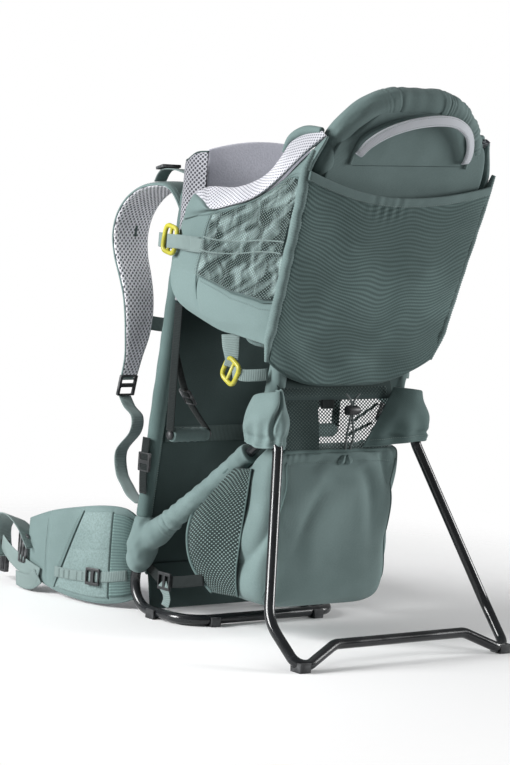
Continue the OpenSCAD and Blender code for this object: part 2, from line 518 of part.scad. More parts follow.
module kickstand() color(black) difference() {
  union() {
    bent_tube(kick_path, kick_bends, tube_d);
    both() translate([eye_x - eye_w / 2, pivot.y, pivot.z]) rotate([0, 90, 0]) cylinder(d = eye_d, h = eye_w, $fn = 48);
  }
  translate([-eye_x - eye_w, pivot.y, pivot.z]) rotate([0, 90, 0])
    cylinder(d = pin_d + 2 * pin_clear, h = 2 * (eye_x + eye_w), $fn = 48);
}
kick_low = bend_points(kick_path, kick_bends, 3, 8);
module kick_feet() color(black) both() {
  a = kick_low[4];
  d = unit(kick_low[5] - kick_low[3]);
  difference() {
    translate([-a.x - 9, a.y - 10, 0]) cube([18, 20, a.z + 3]);
    mirror([1, 0, 0]) bent_tube(kick_path, kick_bends, tube_d + 2 * gap);
  }
}

// Shoulder harness: the yoke slides on the rail and carries both straps
yoke_y = rail_y + rail_t + gap;
module yoke_plate() color(black) on_back(slide_z) {
  translate([-98 * sx / 2 * 1.8, yoke_y, -24]) cube([98 * sx * 1.8, 4, 50]);
  for (x = [-rail_w / 2 - gap - 7, rail_w / 2 + gap]) translate([x, rail_y + gap, -24]) cube([7, rail_t + 1, 50]);
}
strap_yz = [[53.7, 514], [56.3, 542], [70, 573], [95, 591], [139, 587], [171, 571], [192, 546], [199, 516], [193, 486],
  [180, 460], [168, 432], [162, 402], [160, 375], [164, 345], [170, 318]];
strap_xs = [66, 68, 70, 72, 74, 76, 78, 80, 81, 82, 83, 84, 86, 87, 88];
function strap_path(s) = [for (i = [0 : 14]) at(s * strap_xs[i], strap_yz[i].x, strap_yz[i].y)];
strap_widths = [0.85, 0.95, 1, 1, 1, 1, 0.98, 0.95, 0.9, 0.86, 0.8, 0.76, 0.7, 0.62, 0.5] * strap_w;
module strap_left() color(pale) strap(strap_path(-1), [1, 0, 0], strap_widths, strap_t, 30, 6, 0.4);
module strap_right() color(pale) strap(strap_path(1), [1, 0, 0], strap_widths, strap_t, 30, 6, 0.4);
lifter = [at(76, 143, 594.5), at(84, 126, 606), at(92, 106, 613), at(97, 76, 615), at(100.2, 47, 611.8)];
module load_lifters() color(dark_sage) both()
  strap(lifter, unit([0.93, 0.29, 0]), web_w - 2, web_t, 8);
strap_end = at(88, 170, 318);
strap_dir = unit([0, 6 * sy, -27 * sz]);
strap_lock = strap_end + strap_dir * (15 + 2 * gap);
module strap_locks() color(black) both() {
  translate(strap_lock) rotate([atan2(-strap_dir.z, -strap_dir.y), 0, 0]) translate([0, 0, -lock_t / 2]) ladder_lock(web_w + 2, 30);
  translate(lifter[2] + [0, 0, 1.3]) rotate([-12, 0, 16]) ladder_lock(web_w, 26);
}
module strap_webs() color(dark_sage) both()
  strap([strap_lock + strap_dir * (15 + 2.5 * gap), at(90, 162, 274), at(92, 140, 262), at(94, 140, 240), at(96, 166, 210), at(99, 158, 180),
    at(107, 132, 165), at(118, 104, 156), at(127.4, 72.8, 151)], unit([1, 0.1, 0]), web_w, web_t, 18);
// Sternum strap: a web between the straps with a side-release buckle
sternum_z = 392;
sternum_p = at(0, 159.7, sternum_z);
module sternum_web() color(dark_sage) {
  span = 58 * sx;
  strap([[-span, 0, 0], [-34, 2, -3], [-26.5, 2, -3]] + [for (i = [0 : 2]) sternum_p + [0, 10.8, 0]], [0, 0, 1], web_w, web_t, 6);
  strap([[17.4, 2, -3], [36, 3, -4], [span, 0, 0]] + [for (i = [0 : 2]) sternum_p + [0, 10.8, 0]], [0, 0, 1], web_w, web_t, 6);
  for (s = [-1, 1]) translate(sternum_p + [s * (span + 6), 10.8, 0]) cube([11, 5.8, 24], center = true);
}
// Side-release buckle halves, webbing end toward -x, prongs toward +x
module buckle_male(w, l) {
  t = 7;
  difference() {
    translate([0, -t / 2, -w / 2 - 4]) cube([l * 0.4, t, w + 8]);
    translate([4, -t, -w / 2]) cube([4, 2 * t, w]);
    translate([11, -t, -w / 2]) cube([3, 2 * t, w]);
  }
  for (z = [-w / 2 - 1, -2, w / 2 - 3]) translate([l * 0.4 - 1, -2, z]) cube([l * 0.52, 4, 4]);
}
module buckle_female(w, l) {
  t = 10;
  difference() {
    translate([0, -t / 2, -w / 2 - 5]) cube([l * 0.72, t, w + 10]);
    translate([-1, -2.8, -w / 2 - 1.6]) cube([l * 0.55, 5.6, w + 3.2]);
    translate([l * 0.2, -t, -w / 2 - 6]) cube([l * 0.2, 2 * t, 5]);
    translate([l * 0.2, -t, w / 2 + 1]) cube([l * 0.2, 2 * t, 5]);
    translate([l * 0.62, -t, -w / 2]) cube([4, 2 * t, w]);
  }
}
sternum_l = 38;
module sternum_male() color(black) translate(sternum_p + [-26, 12.8, -3]) buckle_male(web_w, sternum_l);
module sternum_female() color(black) translate(sternum_p + [-26 + sternum_l * 0.4 + gap, 12.8, -3]) buckle_female(web_w, sternum_l);

// Hip fins: plan path, lower and upper edge of the right fin
fin_plan = [[127, 77], [143, 88], [160, 116], [171, 162], [177, 210], [180, 256]];
fin_low = [16, 10, 6, 7, 14, 28];
fin_high = [128, 140, 140, 131, 119, 102];
function fin_face(s, out) = [for (i = [0 : 16]) let (u = i / 16, q = curve(fin_plan, u),
  d = curve(fin_plan, min(1, u + 0.02)) - curve(fin_plan, max(0, u - 0.02)), k = unit([d.y, -d.x]))
  [for (j = [0 : 8]) let (v = j / 8, h = out * (1.5 + (fin_t / 2 - 1.5) * crown(0.02 + 0.96 * u, 0.02 + 0.96 * v, 0.45)))
    [s * (q.x * sx + k.x * h), q.y * sy + k.y * h, mix(curve(fin_low, u), curve(fin_high, u), v) * sz]]];
module fin_left() color(sage) slab(fin_face(-1, -1), fin_face(-1, 1));
module fin_right() color(sage) slab(fin_face(1, 1), fin_face(1, -1));
fin_tip = at(180, 256.2, 57);
lock_h = 26;
// Point off the outer face of the right fin
function fin_spot(u, z, off) = let (q = curve(fin_plan, u),
  d = curve(fin_plan, min(1, u + 0.02)) - curve(fin_plan, max(0, u - 0.02)), k = unit([d.y, -d.x]), h = fin_t / 2 + off)
  [q.x * sx + k.x * h, q.y * sy + k.y * h, z * sz];
// Ladder lock at the fin's tip and the stabiliser's lock on the fin's side
module fin_lock() {
  translate(fin_tip + [0, lock_h / 2 + gap, 0]) rotate([0, 90, 0]) translate([0, 0, -lock_t / 2]) ladder_lock(belt_w, lock_h);
  translate(fin_spot(0.42, 42, 0.2)) rotate([0, 0, -20]) rotate([0, 90, 0]) ladder_lock(web_w - 4, 22);
}
module fin_lock_left() color(black) mirror([1, 0, 0]) fin_lock();
module fin_lock_right() color(black) fin_lock();
// Hip belt webbing: from the tip's lock to the buckle, with a folded tail
belt_end = at(172, 319.6, 36);
module hip_web() {
  strap([fin_tip + [0, lock_h + 2 * gap, 0], fin_tip + [-2, lock_h + 14, -8], belt_end + [0, -gap, 0]], [0, 0, 1],
    belt_w - 2, web_t, 6);
  strap([fin_tip + [lock_t / 2 + 1.4, 8, 0], fin_tip + [8, 16, -4], fin_tip + [13, 24, -16], fin_tip + [13, 10, -26], fin_tip + [12, -14, -31]],
    unit([0, 0.4, 1]), belt_w - 16, web_t, 10);
}
module hip_web_left() color(dark_sage) mirror([1, 0, 0]) hip_web();
module hip_web_right() color(dark_sage) hip_web();
hip_l = 62;
module hip_male() color(black) mirror([1, 0, 0]) translate(belt_end + [0, gap, 0]) rotate([0, 0, 90]) scale([0.62, 1, 1]) buckle_male(belt_w, hip_l);
module hip_female() color(black) translate(belt_end + [0, hip_l * 0.62 * 0.72 + gap, 0]) rotate([0, 0, -90]) scale([0.62, 1, 1]) buckle_female(belt_w, hip_l);

// Stirrup: a foot bar hung from the wing's lower corner by two webs
stir_top = at(148, -8, 432.6);
stir_web = 16;
module stirrup() {
  side = [0, 1, 0];
  bar_l = at(152, -8, 258);
  bar_r = at(80, -8, 258);
  along(bar_r, bar_l, 12);
  translate(stir_top - [web_t / 2, 0, 0]) rotate([0, 90, 0]) cylinder(d = stir_web, h = web_t);
  strap([stir_top, at(149, -8, 340), bar_l + [-3, 0, 6]], side, stir_web, web_t, 6);
  strap([at(148.6, -8, 372), at(124, -8, 312), bar_r + [4, 0, 6]], side, stir_web, web_t, 6);
  translate(at(122, -8, 310)) rotate([0, 36, 0]) cube([lock_t, 22, 26], center = true);
}
module stirrup_left() color(black) mirror([1, 0, 0]) stirrup();
module stirrup_right() color(black) stirrup();
// Grab handle: a bowed band hinged along its foot
handle_foot = at(93, 0, 652);
module grab_handle() color(pale) {
  p = [[-93, 652], [-84, 674], [-58, 696], [-20, 707], [20, 707], [58, 696], [84, 674], [93, 652]];
  face = function(off, in) [for (i = [0 : 24]) let (u = i / 24, q = curve(p, u),
    d = curve(p, min(1, u + 0.02)) - curve(p, max(0, u - 0.02)), k = unit([-d.y, d.x]), w = 6 + 3 * sin(180 * u))
    [for (s = [-1, 1]) let (z = (q.y + s * k.y * w) * sz)
      [(q.x + s * k.x * w) * sx, rear_y(z) - 2 - gap - 14 * pow(sin(180 * u), 0.7) - off, z]]];
  slab(face(5), face(0));
}

back_frame();
seat_frame();
strut_clamps();
hub_brackets();
hub_pins();
base_feet();
frame_sleeve();
back_panel();
lumbar_pad();
back_pads();
slide_rail();
side_wing_left();
side_wing_right();
rim_pads();
front_wall();
chin_pad();
seat_sling();
child_harness();
rear_panel();
head_panel();
stretch_pocket();
headrest_hood();
head_pad();
hub_sleeves();
yellow_adjusters();
body_webs();
storage_bag();
waist_mesh();
mesh_pockets();
strut_sleeves();
drawcord();
cord_lock();
cord_button();
panel_locks();
kickstand();
kick_feet();
yoke_plate();
strap_left();
strap_right();
load_lifters();
strap_locks();
strap_webs();
sternum_web();
sternum_male();
sternum_female();
fin_left();
fin_right();
fin_lock_left();
fin_lock_right();
hip_web_left();
hip_web_right();
hip_male();
hip_female();
stirrup_left();
stirrup_right();
grab_handle();
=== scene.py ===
"""Looks of a framed baby carrier backpack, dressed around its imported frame."""
import logging
import math
from dataclasses import dataclass
from enum import Enum
from functools import lru_cache
from typing import Callable, Sequence

import bmesh
import bpy
import numpy as np
from mathutils import Matrix, Vector
from mathutils.bvhtree import BVHTree


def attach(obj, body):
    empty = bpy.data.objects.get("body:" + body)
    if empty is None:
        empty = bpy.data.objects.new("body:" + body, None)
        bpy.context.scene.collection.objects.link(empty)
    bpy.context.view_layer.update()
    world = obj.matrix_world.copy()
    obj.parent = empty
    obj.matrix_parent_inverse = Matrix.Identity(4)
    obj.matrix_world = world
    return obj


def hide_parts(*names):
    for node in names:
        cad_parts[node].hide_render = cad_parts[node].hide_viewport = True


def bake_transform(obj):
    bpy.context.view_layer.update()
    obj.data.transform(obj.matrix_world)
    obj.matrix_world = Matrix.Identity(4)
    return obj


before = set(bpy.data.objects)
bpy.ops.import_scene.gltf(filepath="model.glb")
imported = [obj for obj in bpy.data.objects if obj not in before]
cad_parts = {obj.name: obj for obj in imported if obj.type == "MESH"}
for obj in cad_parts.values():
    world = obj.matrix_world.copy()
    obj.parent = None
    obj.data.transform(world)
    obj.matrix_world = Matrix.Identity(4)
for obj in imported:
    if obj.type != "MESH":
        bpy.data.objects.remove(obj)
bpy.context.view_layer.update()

LOG = logging.getLogger("carrier")
MM = 0.001
COORDS = "cloth_mm"
X, Y, Z, REARWARD = (1, 0, 0), (0, 1, 0), (0, 0, 1), (0, -1, 0)
Array = np.ndarray
Colour = tuple[float, float, float]
Piece = bpy.types.Object
Socket = bpy.types.NodeSocket
Sockets = Sequence[Socket]
Face = Callable[[float, float], Sequence[float]]
Field = Callable[[float, float], float]
Plan = tuple[tuple[float, float], ...]


# Small maths on points in millimetres

def vec(x: float, y: float, z: float) -> Array:
    """A point or a direction."""
    return np.array([x, y, z])


def unit(v: Sequence[float]) -> Array:
    """The vector scaled to length one."""
    v = np.asarray(v, float)
    return v / max(np.linalg.norm(v), 1e-12)


def mix(a: Array | float, b: Array | float, t: float) -> Array | float:
    """The value a share t of the way from a to b."""
    return a + (b - a) * t


def curve(points: Sequence[Sequence[float]], t: float) -> Array:
    """A smooth curve through the points.

    Args:
        points: the points, or plain numbers, that the curve passes.
        t: the place along it, 0 at the first point and 1 at the last.

    Returns:
        The point, or number, at that place.
    """
    p = np.asarray(points, float)
    n = len(p) - 1
    s = min(max(t, 0.0), 1.0) * n
    i = min(int(s), n - 1)
    f = s - i
    a, b, c, d = p[max(i - 1, 0)], p[i], p[i + 1], p[min(i + 2, n)]
    square, cube = (2 * a - 5 * b + 4 * c - d) * f * f, (3 * b - a - 3 * c + d) * f ** 3
    return 0.5 * (2 * b + (c - a) * f + square + cube)


def along(points: Sequence[Sequence[float]], n: int, start: float = 0.0, end: float = 1.0) -> Array:
    """n + 1 places on the curve through the points, from start to end."""
    return np.array([curve(points, mix(start, end, i / n)) for i in range(n + 1)])


def heading(points: Sequence[Sequence[float]], t: float, reach: float = 0.01) -> Array:
    """The way the curve through the points runs at a place, not scaled."""
    return curve(points, min(1, t + reach)) - curve(points, max(0, t - reach))


def length(points: Array) -> float:
    """The length of the straight runs from point to point."""
    return float(np.linalg.norm(np.diff(points, axis=0), axis=1).sum())


def hump(u: float, power: float = 0.5) -> float:
    """0 at both ends of 0 to 1 and 1 in the middle; a low power makes it flat-topped."""
    return max(0.0, math.sin(math.pi * min(max(u, 0.0), 1.0))) ** power


def crown(u: float, v: float, power: float = 0.5) -> float:
    """Edge fall-off of a padded piece, small at its border and 1 inside."""
    return hump(0.02 + 0.96 * u, power) * hump(0.02 + 0.96 * v, power)


def bell(x: float, at: float, width: float) -> float:
    """A smooth bump of height one about a place."""
    return math.exp(-((x - at) / width) ** 2)


def step(x: float, low: float, high: float) -> float:
    """0 below low, 1 above high, smooth between."""
    t = min(max((x - low) / (high - low), 0.0), 1.0)
    return t * t * (3 - 2 * t)


@lru_cache(maxsize=None)
def wander(seed: int, waves: int = 6, reach: float = 1.0) -> Field:
    """A smooth random field over two coordinates, the same for the same seed.

    Args:
        seed: picks the field.
        waves: how many waves are summed.
        reach: the highest wave number along each coordinate.

    Returns:
        A function of u and v whose values lie about zero, mostly within one.
    """
    rng = np.random.default_rng(seed)
    turns = rng.uniform(-reach, reach, (waves, 2)) * 2 * math.pi
    phase = rng.uniform(0, 2 * math.pi, waves)

    def value(u: float, v: float) -> float:
        """The field at u and v."""
        return float(np.sin(turns[:, 0] * u + turns[:, 1] * v + phase).mean() * 1.6)
    return value


@lru_cache(maxsize=None)
def creases(seed: int, count: int, lean: float) -> Array:
    """Straight creases at random: middle y and z, angle, half-width, half-length and height of each."""
    rng = np.random.default_rng(seed)
    return np.column_stack([rng.uniform(-265, -55, count), rng.uniform(425, 630, count),
                            rng.normal(lean, 0.4, count), rng.uniform(8, 22, count),
                            rng.uniform(30, 75, count), rng.uniform(3.0, 9.0, count)])


def mirrored(points: Array) -> Array:
    """The points on the other side of the middle plane."""
    return np.asarray(points, float) * np.array([-1.0, 1.0, 1.0])


class Side(Enum):
    """A side of the wearer, by the sign of its x."""

    RIGHT = 1
    LEFT = -1

    @property
    def label(self) -> str:
        """The side's name as pieces and bodies have it."""
        return self.name.lower()

    @property
    def flip(self) -> Array:
        """What takes a point of the right side to this one."""
        return vec(self.value, 1, 1)


# Meshes

def show(name: str, data: bpy.types.ID) -> Piece:
    """A new object in the scene."""
    made = bpy.data.objects.new(name, data)
    bpy.context.scene.collection.objects.link(made)
    return made


class Maker:
    """Gathers faces with a flat cloth coordinate, in millimetres, at each corner."""

    WEB_STEP = 4
    WEB_PROFILE = ((-0.5, 0.35), (-0.46, 0.9), (-0.25, 1), (0, 1), (0.25, 1), (0.46, 0.9), (0.5, 0.35))
    STITCH_FACES = ((0, 1, 2, 3), (3, 2, 4, 5), (0, 3, 5), (1, 4, 2), (0, 5, 4, 1))
    STITCH_WIDTH = 0.55

    def __init__(self, side: Side = Side.RIGHT) -> None:
        """Start with no faces; lines of tubes, straps and stitches are taken over to the side."""
        self.flip = side.flip
        self.points: list[Array] = []
        self.faces: list[tuple[int, ...]] = []
        self.flat: list[tuple[float, float]] = []

    def add(self, points: Array) -> Array:
        """Add points and return their indices."""
        start = len(self.points)
        self.points.extend(np.asarray(points, float).reshape(-1, 3))
        return np.arange(start, len(self.points))

    def face(self, corners: Sequence[int], flat: Sequence[tuple[float, float]] | None = None) -> None:
        """Add one face, with its cloth coordinates or with none that matter."""
        self.faces.append(tuple(int(c) for c in corners))
        self.flat.extend(flat or ((0, 0),) * len(corners))

    def fan(self, row: Sequence[int], tip: int) -> None:
        """Close a ring of points with triangles to a tip."""
        for j in range(len(row)):
            self.face((row[j], row[(j + 1) % len(row)], tip), ((0, 0), (1, 0), (0, 1)))

    def grid(self, points: Array, wrap: bool = False) -> Array:
        """Add a grid of quads.

        Args:
            points: rows by columns by three.
            wrap: joins the last column to the first.

        Returns:
            The points' indices, rows by columns.
        """
        points = np.asarray(points, float)
        n, m, _ = points.shape
        index = self.add(points).reshape(n, m)
        shut = np.concatenate([points, points[:, :1]], axis=1)
        across = np.pad(np.cumsum(np.linalg.norm(np.diff(shut, axis=1), axis=2), axis=1), ((0, 0), (1, 0)))
        down = np.concatenate([[0.0], np.cumsum(np.linalg.norm(np.diff(points, axis=0), axis=2).mean(1))])
        for i in range(n - 1):
            for j in range(m if wrap else m - 1):
                k = (j + 1) % m
                self.face((index[i, j], index[i, k], index[i + 1, k], index[i + 1, j]),
                          ((across[i, j], down[i]), (across[i, j + 1], down[i]),
                           (across[i + 1, j + 1], down[i + 1]), (across[i + 1, j], down[i + 1])))
        return index

    def band(self, a: Sequence[int], b: Sequence[int], wrap: bool = False) -> None:
        """Join two rows of points of one length with quads."""
        n = len(a)
        for i in range(n if wrap else n - 1):
            k = (i + 1) % n
            self.face((a[i], a[k], b[k], b[i]), ((i, 0), (i + 1, 0), (i + 1, 1), (i, 1)))

    def slab(self, outer: Array, inner: Array) -> "Maker":
        """Add a closed solid between two grids of one shape."""
        a, b = self.grid(outer), self.grid(inner)
        for x, y in ((a[0], b[0]), (a[-1], b[-1]), (a[:, 0], b[:, 0]), (a[:, -1], b[:, -1])):
            self.band(x, y)
        return self

    def tube(self, points: Array, radius: float | Sequence[float] | Field,
             sides: int = 10, ref: Sequence[float] = (0.31, 0.22, 0.93), cap: bool = True) -> "Maker":
        """Add a round tube along points.

        Args:
            points: the centre line.
            radius: one radius, a list to interpolate, or a function of the place along and the angle.
            sides: points round each ring.
            ref: a direction that the rings' first point turns from.
            cap: closes both ends.

        Returns:
            The maker.
        """
        p = np.asarray(points, float) * self.flip
        n = len(p)
        rings = []
        ref = np.asarray(ref, float)
        for i in range(n):
            t = unit(p[min(i + 1, n - 1)] - p[max(i - 1, 0)])
            e = np.cross(t, ref)
            if np.linalg.norm(e) < 1e-3:
                e = np.cross(t, ref + vec(0.5, -0.3, 0.1))
            e = unit(e)
            f = np.cross(t, e)
            u = i / (n - 1)
            row = []
            for j in range(sides):
                a = 2 * math.pi * j / sides
                if callable(radius):
                    r = radius(u, a)
                else:
                    r = float(curve(radius, u)) if np.ndim(radius) else float(radius)
                row.append(p[i] + (e * math.cos(a) + f * math.sin(a)) * r)
            rings.append(row)
        index = self.grid(rings, wrap=True)
        if cap:
            for row in (index[0], index[-1]):
                self.fan(row, self.add(np.mean([self.points[k] for k in row], axis=0))[0])
        return self

    def strap(self, points: Array, side: Sequence[float], width: float | Sequence[float], thick: float,
              n: int = 0) -> "Maker":
        """Add flat webbing with rounded edges.

        Args:
            points: the middle line's points, which a smooth curve joins.
            side: the direction across the webbing.
            width: the width, or a list to interpolate.
            thick: the thickness.
            n: steps along; 0 takes one for each WEB_STEP.

        Returns:
            The maker.
        """
        p = np.asarray(points, float) * self.flip
        n = n or max(6, int(length(p) / self.WEB_STEP))
        outer, inner = [], []
        for i in range(n + 1):
            u = i / n
            c = curve(p, u)
            t = unit(heading(p, u))
            s = unit(side)
            s = unit(s - t * float(s @ t))
            q = np.cross(t, s)
            w = float(curve(width, u)) if np.ndim(width) else float(width)
            outer.append([c + s * w * v + q * thick * h / 2 for v, h in self.WEB_PROFILE])
            inner.append([c + s * w * v - q * thick * h / 2 for v, h in self.WEB_PROFILE])
        return self.slab(outer, inner)

    def stitches(self, points: Array, normal: Array | Sequence[float], pitch: float = 3.2,
                 long: float = 2.1) -> "Maker":
        """Add a row of short thread stitches that lie on a line of points."""
        p = np.asarray(points, float) * self.flip
        gaps = np.concatenate([[0.0], np.cumsum(np.linalg.norm(np.diff(p, axis=0), axis=1))])
        normals = np.broadcast_to(np.asarray(normal, float), p.shape)
        for k in range(int(gaps[-1] / pitch)):
            a, b = (np.array([np.interp(s, gaps, p[:, x]) for x in range(3)])
                    for s in (k * pitch + (pitch - long) / 2, k * pitch + (pitch + long) / 2))
            up = unit([np.interp(k * pitch, gaps, normals[:, x]) for x in range(3)])
            s = np.cross(unit(b - a), up) * self.STITCH_WIDTH / 2
            middle = (a + b) / 2 + up * self.STITCH_WIDTH * 0.8
            i = self.add([a - s, a + s, middle + s, middle - s, b + s, b - s])
            for face in self.STITCH_FACES:
                self.face(i[list(face)])
        return self

    def build(self, name: str, finish: "Finish") -> Piece:
        """Make the object.

        Args:
            name: the piece's name.
            finish: what its surface is.

        Returns:
            The new object, in metres, in the shared frame.
        """
        mesh = bpy.data.meshes.new(name)
        mesh.from_pydata((np.array(self.points) * MM).tolist(), [], self.faces)
        layer = mesh.uv_layers.new(name=COORDS)
        layer.uv.foreach_set("vector", np.array(self.flat, np.float32).ravel())
        work = bmesh.new()
        work.from_mesh(mesh)
        bmesh.ops.recalc_face_normals(work, faces=work.faces)
        work.to_mesh(mesh)
        work.free()
        mesh.validate()
        for polygon in mesh.polygons:
            polygon.use_smooth = True
        mesh.materials.append(finish.material())
        return show(name, mesh)

    def place(self, name: str, finish: "Finish", slot: str, *nodes: str, body: str = "frame") -> Piece:
        """Make the object and put it on its body, as settle does."""
        return settle(self.build(name, finish), slot, *nodes, body=body)


class Surface:
    """The outside of a finished piece, to lay seams, piping and patches on."""

    REACH = 60.0

    def __init__(self, piece: Piece) -> None:
        """Read the piece as it renders."""
        graph = bpy.context.evaluated_depsgraph_get()
        graph.update()
        self.tree = BVHTree.FromObject(piece, graph)

    def lay(self, points: Array, direction: Sequence[float], lift: float) -> tuple[Array, Array]:
        """Drop points onto the surface.

        Args:
            points: points in millimetres, near the surface.
            direction: the way they fall.
            lift: how far above the surface they end.

        Returns:
            The points on the surface and the surface's normals.
        """
        d = unit(direction)
        places, normals = [], []
        for p in np.asarray(points, float):
            hit = self.tree.ray_cast(Vector((p - d * self.REACH) * MM), Vector(d), 2.2 * self.REACH * MM)
            if hit[0] is None:
                hit = self.tree.find_nearest(Vector(p * MM))
            n = np.array(hit[1])
            if n @ d > 0:
                n = -n
            places.append(np.array(hit[0]) / MM + n * lift)
            normals.append(n)
        return np.array(places), np.array(normals)


def soften(piece: Piece) -> Piece:
    """Subdivide a piece smoothly."""
    modifier = piece.modifiers.new("soften", "SUBSURF")
    modifier.levels = modifier.render_levels = 1
    return piece


def fuse(piece: Piece, cell: float = 2.6, rounds: int = 7) -> Piece:
    """Run crossing tubes of cloth together into one skin of small cells, smoothed in rounds."""
    whole = piece.modifiers.new("fuse", "REMESH")
    whole.mode = "VOXEL"
    whole.voxel_size = cell * MM
    whole.use_smooth_shade = True
    piece.modifiers.new("ease", "SMOOTH").iterations = rounds
    return piece


@dataclass(frozen=True)
class Filling:
    """A cloth simulation that fills a closed piece while its seams are held."""

    cap: float
    pressure: float = 4.0
    frames: int = 20
    mass: float = 0.3
    stretch: float = 18
    shear: float = 6
    bend: float = 0.6

    def puff(self, piece: Piece, sewn: Callable[[Vector], bool]) -> None:
        """Fill a piece.

        Args:
            piece: the closed piece, whose mesh takes the filled shape; no point moves further than the cap.
            sewn: says whether a point, in millimetres, is held by a seam.
        """
        mesh = piece.data
        rest = np.array([v.co for v in mesh.vertices])
        held = [i for i, co in enumerate(rest) if sewn(Vector(co / MM))]
        modifier = piece.modifiers.new("puff", "CLOTH")
        settings = modifier.settings
        settings.quality = 5
        settings.mass = self.mass
        settings.tension_stiffness = settings.compression_stiffness = self.stretch
        settings.shear_stiffness = self.shear
        settings.bending_stiffness = self.bend
        settings.use_pressure = True
        settings.uniform_pressure_force = self.pressure
        settings.effector_weights.gravity = 0
        if held:
            piece.vertex_groups.new(name="sewn").add(held, 1.0, "REPLACE")
            settings.vertex_group_mass = "sewn"
        modifier.collision_settings.use_collision = False
        modifier.point_cache.frame_start = 1
        modifier.point_cache.frame_end = self.frames
        scene = bpy.context.scene
        for number in range(1, self.frames + 1):
            scene.frame_set(number)
        shaped = piece.evaluated_get(bpy.context.evaluated_depsgraph_get())
        shift = np.array([v.co for v in shaped.to_mesh().vertices]) - rest
        shaped.to_mesh_clear()
        piece.modifiers.remove(modifier)
        scene.frame_set(1)
        far = np.linalg.norm(shift, axis=1, keepdims=True)
        new = rest + shift * np.minimum(1.0, self.cap * MM / np.maximum(far, 1e-9))
        mesh.vertices.foreach_set("co", new.astype(np.float32).ravel())
        mesh.update()
        piece.vertex_groups.clear()


def settle(piece: Piece, slot: str, *nodes: str, body: str = "frame") -> Piece:
    """Put a piece on its body.

    Args:
        piece: the finished piece.
        slot: the record's material slot; not used.
        nodes: the CAD nodes that it stands for.
        body: the body that it moves with.

    Returns:
        The piece.
    """
    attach(piece, body)
    if nodes:
        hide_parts(*nodes)
    LOG.info("%s on %s", piece.name, body)
    return piece


def pad(piece: Piece, fill: float, slot: str, *nodes: str, body: str = "frame") -> None:
    """Subdivide a padded piece and put it on its body."""
    settle(soften(piece), slot, *nodes, body=body)


# Finishes

class Nodes:
    """Short calls that make and join the nodes of one shader tree."""

    def __init__(self, tree: bpy.types.NodeTree) -> None:
        """Work on this tree."""
        self.tree = tree

    def join(self, value: object, target: Socket) -> None:
        """Link a socket to an input, or set the input to a constant."""
        if isinstance(value, Socket):
            self.tree.links.new(value, target)
        else:
            target.default_value = value

    def make(self, kind: str, values: dict | None = None, **settings: object) -> bpy.types.Node:
        """Make a node.

        Args:
            kind: the node's type, without its ShaderNode prefix.
            values: what goes into each input, by name or number: a socket to link or a constant.
            settings: properties of the node.

        Returns:
            The node.
        """
        node = self.tree.nodes.new(kind if kind.startswith("Node") else "ShaderNode" + kind)
        for name, value in settings.items():
            setattr(node, name, value)
        for key, value in (values or {}).items():
            self.join(value, node.inputs[key])
        return node

    def math(self, operation: str, a: object, b: object = 0.0) -> Socket:
        """The result of one calculation on two values."""
        return self.make("Math", {0: a, 1: b}, operation=operation).outputs[0]

    def noise(self, place: Socket, scale: object, detail: float) -> Socket:
        """A noise's value at a place."""
        return self.make("TexNoise", {"Vector": place, "Scale": scale, "Detail": detail}).outputs[0]

    def split(self, vector: Socket) -> Sockets:
        """A vector's three parts."""
        return self.make("SeparateXYZ", {0: vector}).outputs

    def ramp(self, value: Socket, low: float, high: float, start: float = 0.0, end: float = 1.0) -> Socket:
        """A value's range mapped smoothly onto another."""
        return self.make("MapRange", {"Value": value, "From Min": low, "From Max": high, "To Min": start,
                                      "To Max": end}, interpolation_type="SMOOTHSTEP").outputs[0]

    def blend(self, share: object, a: object, b: object) -> Socket:
        """A colour between a and b."""
        node = self.make("Mix", {0: share}, data_type="RGBA")
        for key, value in ((6, a), (7, b)):
            self.join(value if isinstance(value, Socket) else (*value, 1.0), node.inputs[key])
        return node.outputs[2]

    def use(self, tree: bpy.types.NodeTree, place: Socket, **values: float) -> Sockets:
        """The outputs of a shared group at a place."""
        return self.make("Group", {"Vector": place, **values}, node_tree=tree).outputs


Filler = Callable[[Nodes, Sockets], dict[str, Socket]]


def effect(name: str, **inputs: float) -> Callable[[Filler], Callable[[], bpy.types.NodeTree]]:
    """Turn a function that joins nodes into one that gives a shader node group, made once.

    Args:
        name: the group's name.
        inputs: default of each value input, beside the vector that every group takes.

    Returns:
        A decorator; its function takes the group's inputs and returns a socket for each value output.
    """
    def wrap(fill: Filler) -> Callable[[], bpy.types.NodeTree]:
        """Decorate one function."""
        @lru_cache(maxsize=None)
        def made() -> bpy.types.NodeTree:
            """The group, made at the first call."""
            tree = bpy.data.node_groups.new(name, "ShaderNodeTree")
            tree.interface.new_socket("Vector", in_out="INPUT", socket_type="NodeSocketVector")
            for label, default in inputs.items():
                socket = tree.interface.new_socket(label, in_out="INPUT", socket_type="NodeSocketFloat")
                socket.default_value = default
            kit = Nodes(tree)
            result = fill(kit, kit.make("NodeGroupInput").outputs)
            for label in result:
                tree.interface.new_socket(label, in_out="OUTPUT", socket_type="NodeSocketFloat")
            end = kit.make("NodeGroupOutput")
            for label, socket in result.items():
                kit.join(socket, end.inputs[label])
            return tree
        return made
    return wrap


@effect("crossed_threads", Pitch=1.0)
def weave(kit: Nodes, start: Sockets) -> dict[str, Socket]:
    """Crossing threads, roughened: height of a plain weave, and a shade that is painted shade, darker in the
    low places between threads.
    """
    parts = kit.split(start["Vector"])
    turn = kit.math("DIVIDE", math.pi, start["Pitch"])
    across, down = (kit.math("SINE", kit.math("MULTIPLY", parts[k], turn)) for k in (0, 1))
    wave = kit.math("MULTIPLY", kit.math("MULTIPLY", across, down), 0.5)
    height = kit.math("ADD", wave, kit.noise(start["Vector"], 0.35, 2.0))
    return {"Height": height, "Shade": kit.ramp(height, 0.0, 1.1)}


